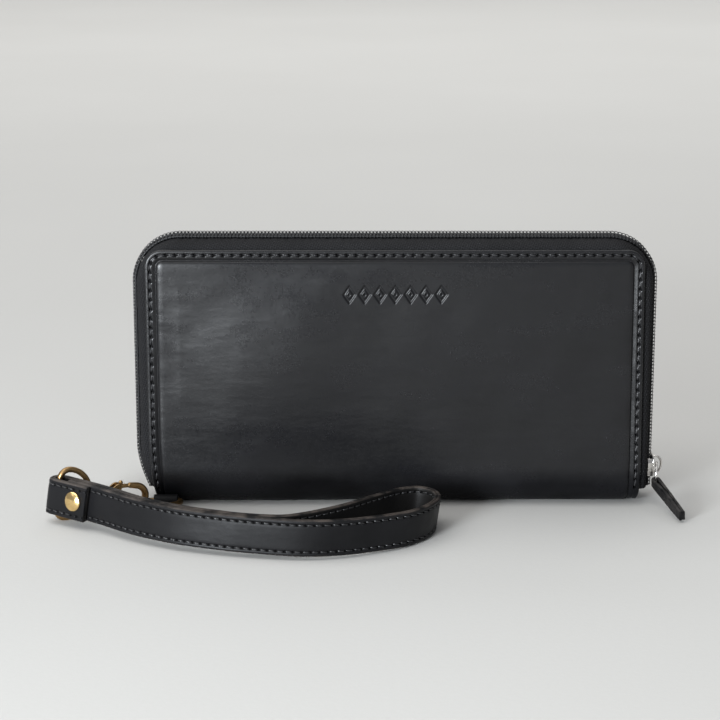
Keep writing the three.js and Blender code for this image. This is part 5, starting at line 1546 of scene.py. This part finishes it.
def build_coin_slider():
    low, high = node_box("coin_slider")
    mid_x = (low[0] + high[0]) / 2
    top = coin_coil_high[2] + 0.3
    plan = smooth_outline([(mid_x - 3.4, -2.2), (mid_x - 3.4, 2.2), (mid_x + 0.8, 3.05), (mid_x + 3.4, 2.4), (mid_x + 3.4, -2.4), (mid_x + 0.8, -3.05)], 0.9)
    parts = []
    for level, thick in ((top, 0.8), (low[2], 0.8)):
        slab = rounded_slab(plan, level, level + thick, 0.25)
        parts.append((slab[0][:, [1, 2, 0]], slab[1]))
    for side in (-1, 1):
        rail = smooth_outline([(mid_x - 3.2, side * 2.45), (mid_x - 3.2, side * 2.2), (mid_x + 0.8, side * 2.5), (mid_x + 3.0, side * 2.3), (mid_x + 3.0, side * 2.55), (mid_x + 0.8, side * 3.0)], 0.2)
        slab = rounded_slab(rail, coin_coil_low[2] + 0.2, top + 0.6, 0.12)
        parts.append((slab[0][:, [1, 2, 0]], slab[1]))
    arch = catmull([(mid_x - 2.5, 0, top + 0.6), (mid_x - 2.2, 0, top + 2.3), (mid_x - 0.4, 0, top + 2.75), (mid_x + 1.3, 0, top + 2.3), (mid_x + 1.6, 0, top + 0.6)], 30)
    parts.append(tube(arch, 0.42, sides=12, up=(0, 1, 0), flat=1.4))
    points, faces, _ = join(parts)
    made = piece("small_slider", points, faces, NICKEL, "coin_zip_slider", ("coin_slider",), smooth_angle=35)
    fix_normals(made)
    low, high = node_box("coin_pull")
    z = (low[2] + high[2]) / 2
    y = high[1] - 0.45
    outline = [
        (high[0] - 0.45, -y, z), (high[0] - 4.5, -y, z), (low[0] + 4.0, -y * 1.05, z), (low[0] + 1.2, -y * 0.8, z), (low[0] + 0.45, 0, z),
        (low[0] + 1.2, y * 0.8, z), (low[0] + 4.0, y * 1.05, z), (high[0] - 4.5, y, z), (high[0] - 0.45, y, z),
    ]
    frame_wire = tube(catmull(outline, 90), 0.44, sides=12, up=(0, 0, 1))
    cross = tube(np.column_stack([np.full(12, high[0] - 0.45), np.linspace(-y, y, 12), np.full(12, z)]), 0.42, sides=12, up=(0, 0, 1))
    plate_plan = smooth_outline([(low[0] + 0.9, -1.0), (low[0] + 0.9, 1.0), (low[0] + 3.5, 1.75), (high[0] - 5.6, 1.7), (high[0] - 5.6, -1.7), (low[0] + 3.5, -1.75)], 0.8)
    slab = rounded_slab(plate_plan, z - 0.25, z + 0.25, 0.15)
    points, faces, _ = join([frame_wire, cross, (slab[0][:, [1, 2, 0]], slab[1])])
    made = piece("small_pull", points, faces, NICKEL, "coin_zip_pull", ("coin_pull",), smooth_angle=40)
    fix_normals(made)


# ---------------------------------------------------------------- stage


def build_stage():
    """Wide pale floor that turns up far behind the wallet, soft lights and the camera."""
    rows = [(-4.0, 0.0), (-1.0, 0.0), (1.0, 0.0), (3.0, 0.0)]
    for a in np.linspace(0, math.pi / 2, 16)[1:]:
        rows.append((3.0 + 1.2 * math.sin(a), 1.2 * (1 - math.cos(a))))
    rows.append((4.2, 3.0))
    xs = np.linspace(-4.0, 4.0, 40)
    grid = np.array([[(x, y, z - 0.00005) for x in xs] for y, z in rows]) / MM
    mesh = bpy.data.meshes.new("floor")
    mesh.from_pydata((grid.reshape(-1, 3) * MM).tolist(), [], grid_quads(len(rows), len(xs)).tolist())
    mesh.shade_smooth()
    floor = bpy.data.objects.new("floor", mesh)
    bpy.context.scene.collection.objects.link(floor)
    mesh.materials.append(floor_look())

    world = bpy.data.worlds.new("soft_room")
    bpy.context.scene.world = world
    world.use_nodes = True
    background = world.node_tree.nodes["Background"]
    background.inputs["Color"].default_value = (0.93, 0.95, 1.0, 1.0)
    background.inputs["Strength"].default_value = 0.38

    def light(name, at, target, size, power, colour):
        data = bpy.data.lights.new(name, "AREA")
        data.shape = "RECTANGLE"
        data.size, data.size_y = size
        data.energy = power
        data.color = colour
        lamp = bpy.data.objects.new(name, data)
        lamp.location = at
        lamp.rotation_euler = (Vector(target) - Vector(at)).to_track_quat("-Z", "Y").to_euler()
        lamp.visible_camera = False
        bpy.context.scene.collection.objects.link(lamp)

    light("window", (-0.62, -0.95, 0.46), (-0.05, 0.0, 0.06), (0.42, 0.5), 2.0, (0.93, 0.965, 1.0))
    light("low_window", (-0.54, -0.93, 0.2), (-0.09, 0.0, 0.09), (0.26, 0.34), 19.0, (0.9, 0.95, 1.0))
    light("far_floor", (0.1, 1.8, 1.4), (0.1, 1.8, 0.0), (2.4, 1.4), 14.0, (1.0, 1.0, 1.0))
    sky = bpy.data.lights.new("sky", "SUN")
    sky.energy = 2.2
    sky.angle = math.radians(70)
    sky.color = (1.0, 0.995, 0.985)
    sky_lamp = bpy.data.objects.new("sky", sky)
    sky_lamp.rotation_euler = Vector((0.45, 0.05, -1.0)).to_track_quat("-Z", "Y").to_euler()
    bpy.context.scene.collection.objects.link(sky_lamp)

    data = bpy.data.cameras.new("camera")
    data.lens = 106.0
    data.sensor_width = 36.0
    data.clip_start, data.clip_end = 0.05, 20.0
    camera = bpy.data.objects.new("camera", data)
    camera.location = (-0.013, -0.7762, 0.2477)
    camera.rotation_euler = (math.radians(90 - 14.0), 0.0, 0.0)
    bpy.context.scene.collection.objects.link(camera)
    bpy.context.scene.camera = camera
    bpy.context.scene.view_settings.view_transform = "Standard"


build_outer_leather()
build_zip()
build_slider()
build_pull_ring()
build_pull()
build_spine_ring()
build_spine_tab()
build_clasp()
build_strap()
build_covers()
build_spine_lining()
build_coin_pocket()
build_stage()

bpy.context.view_layer.update()
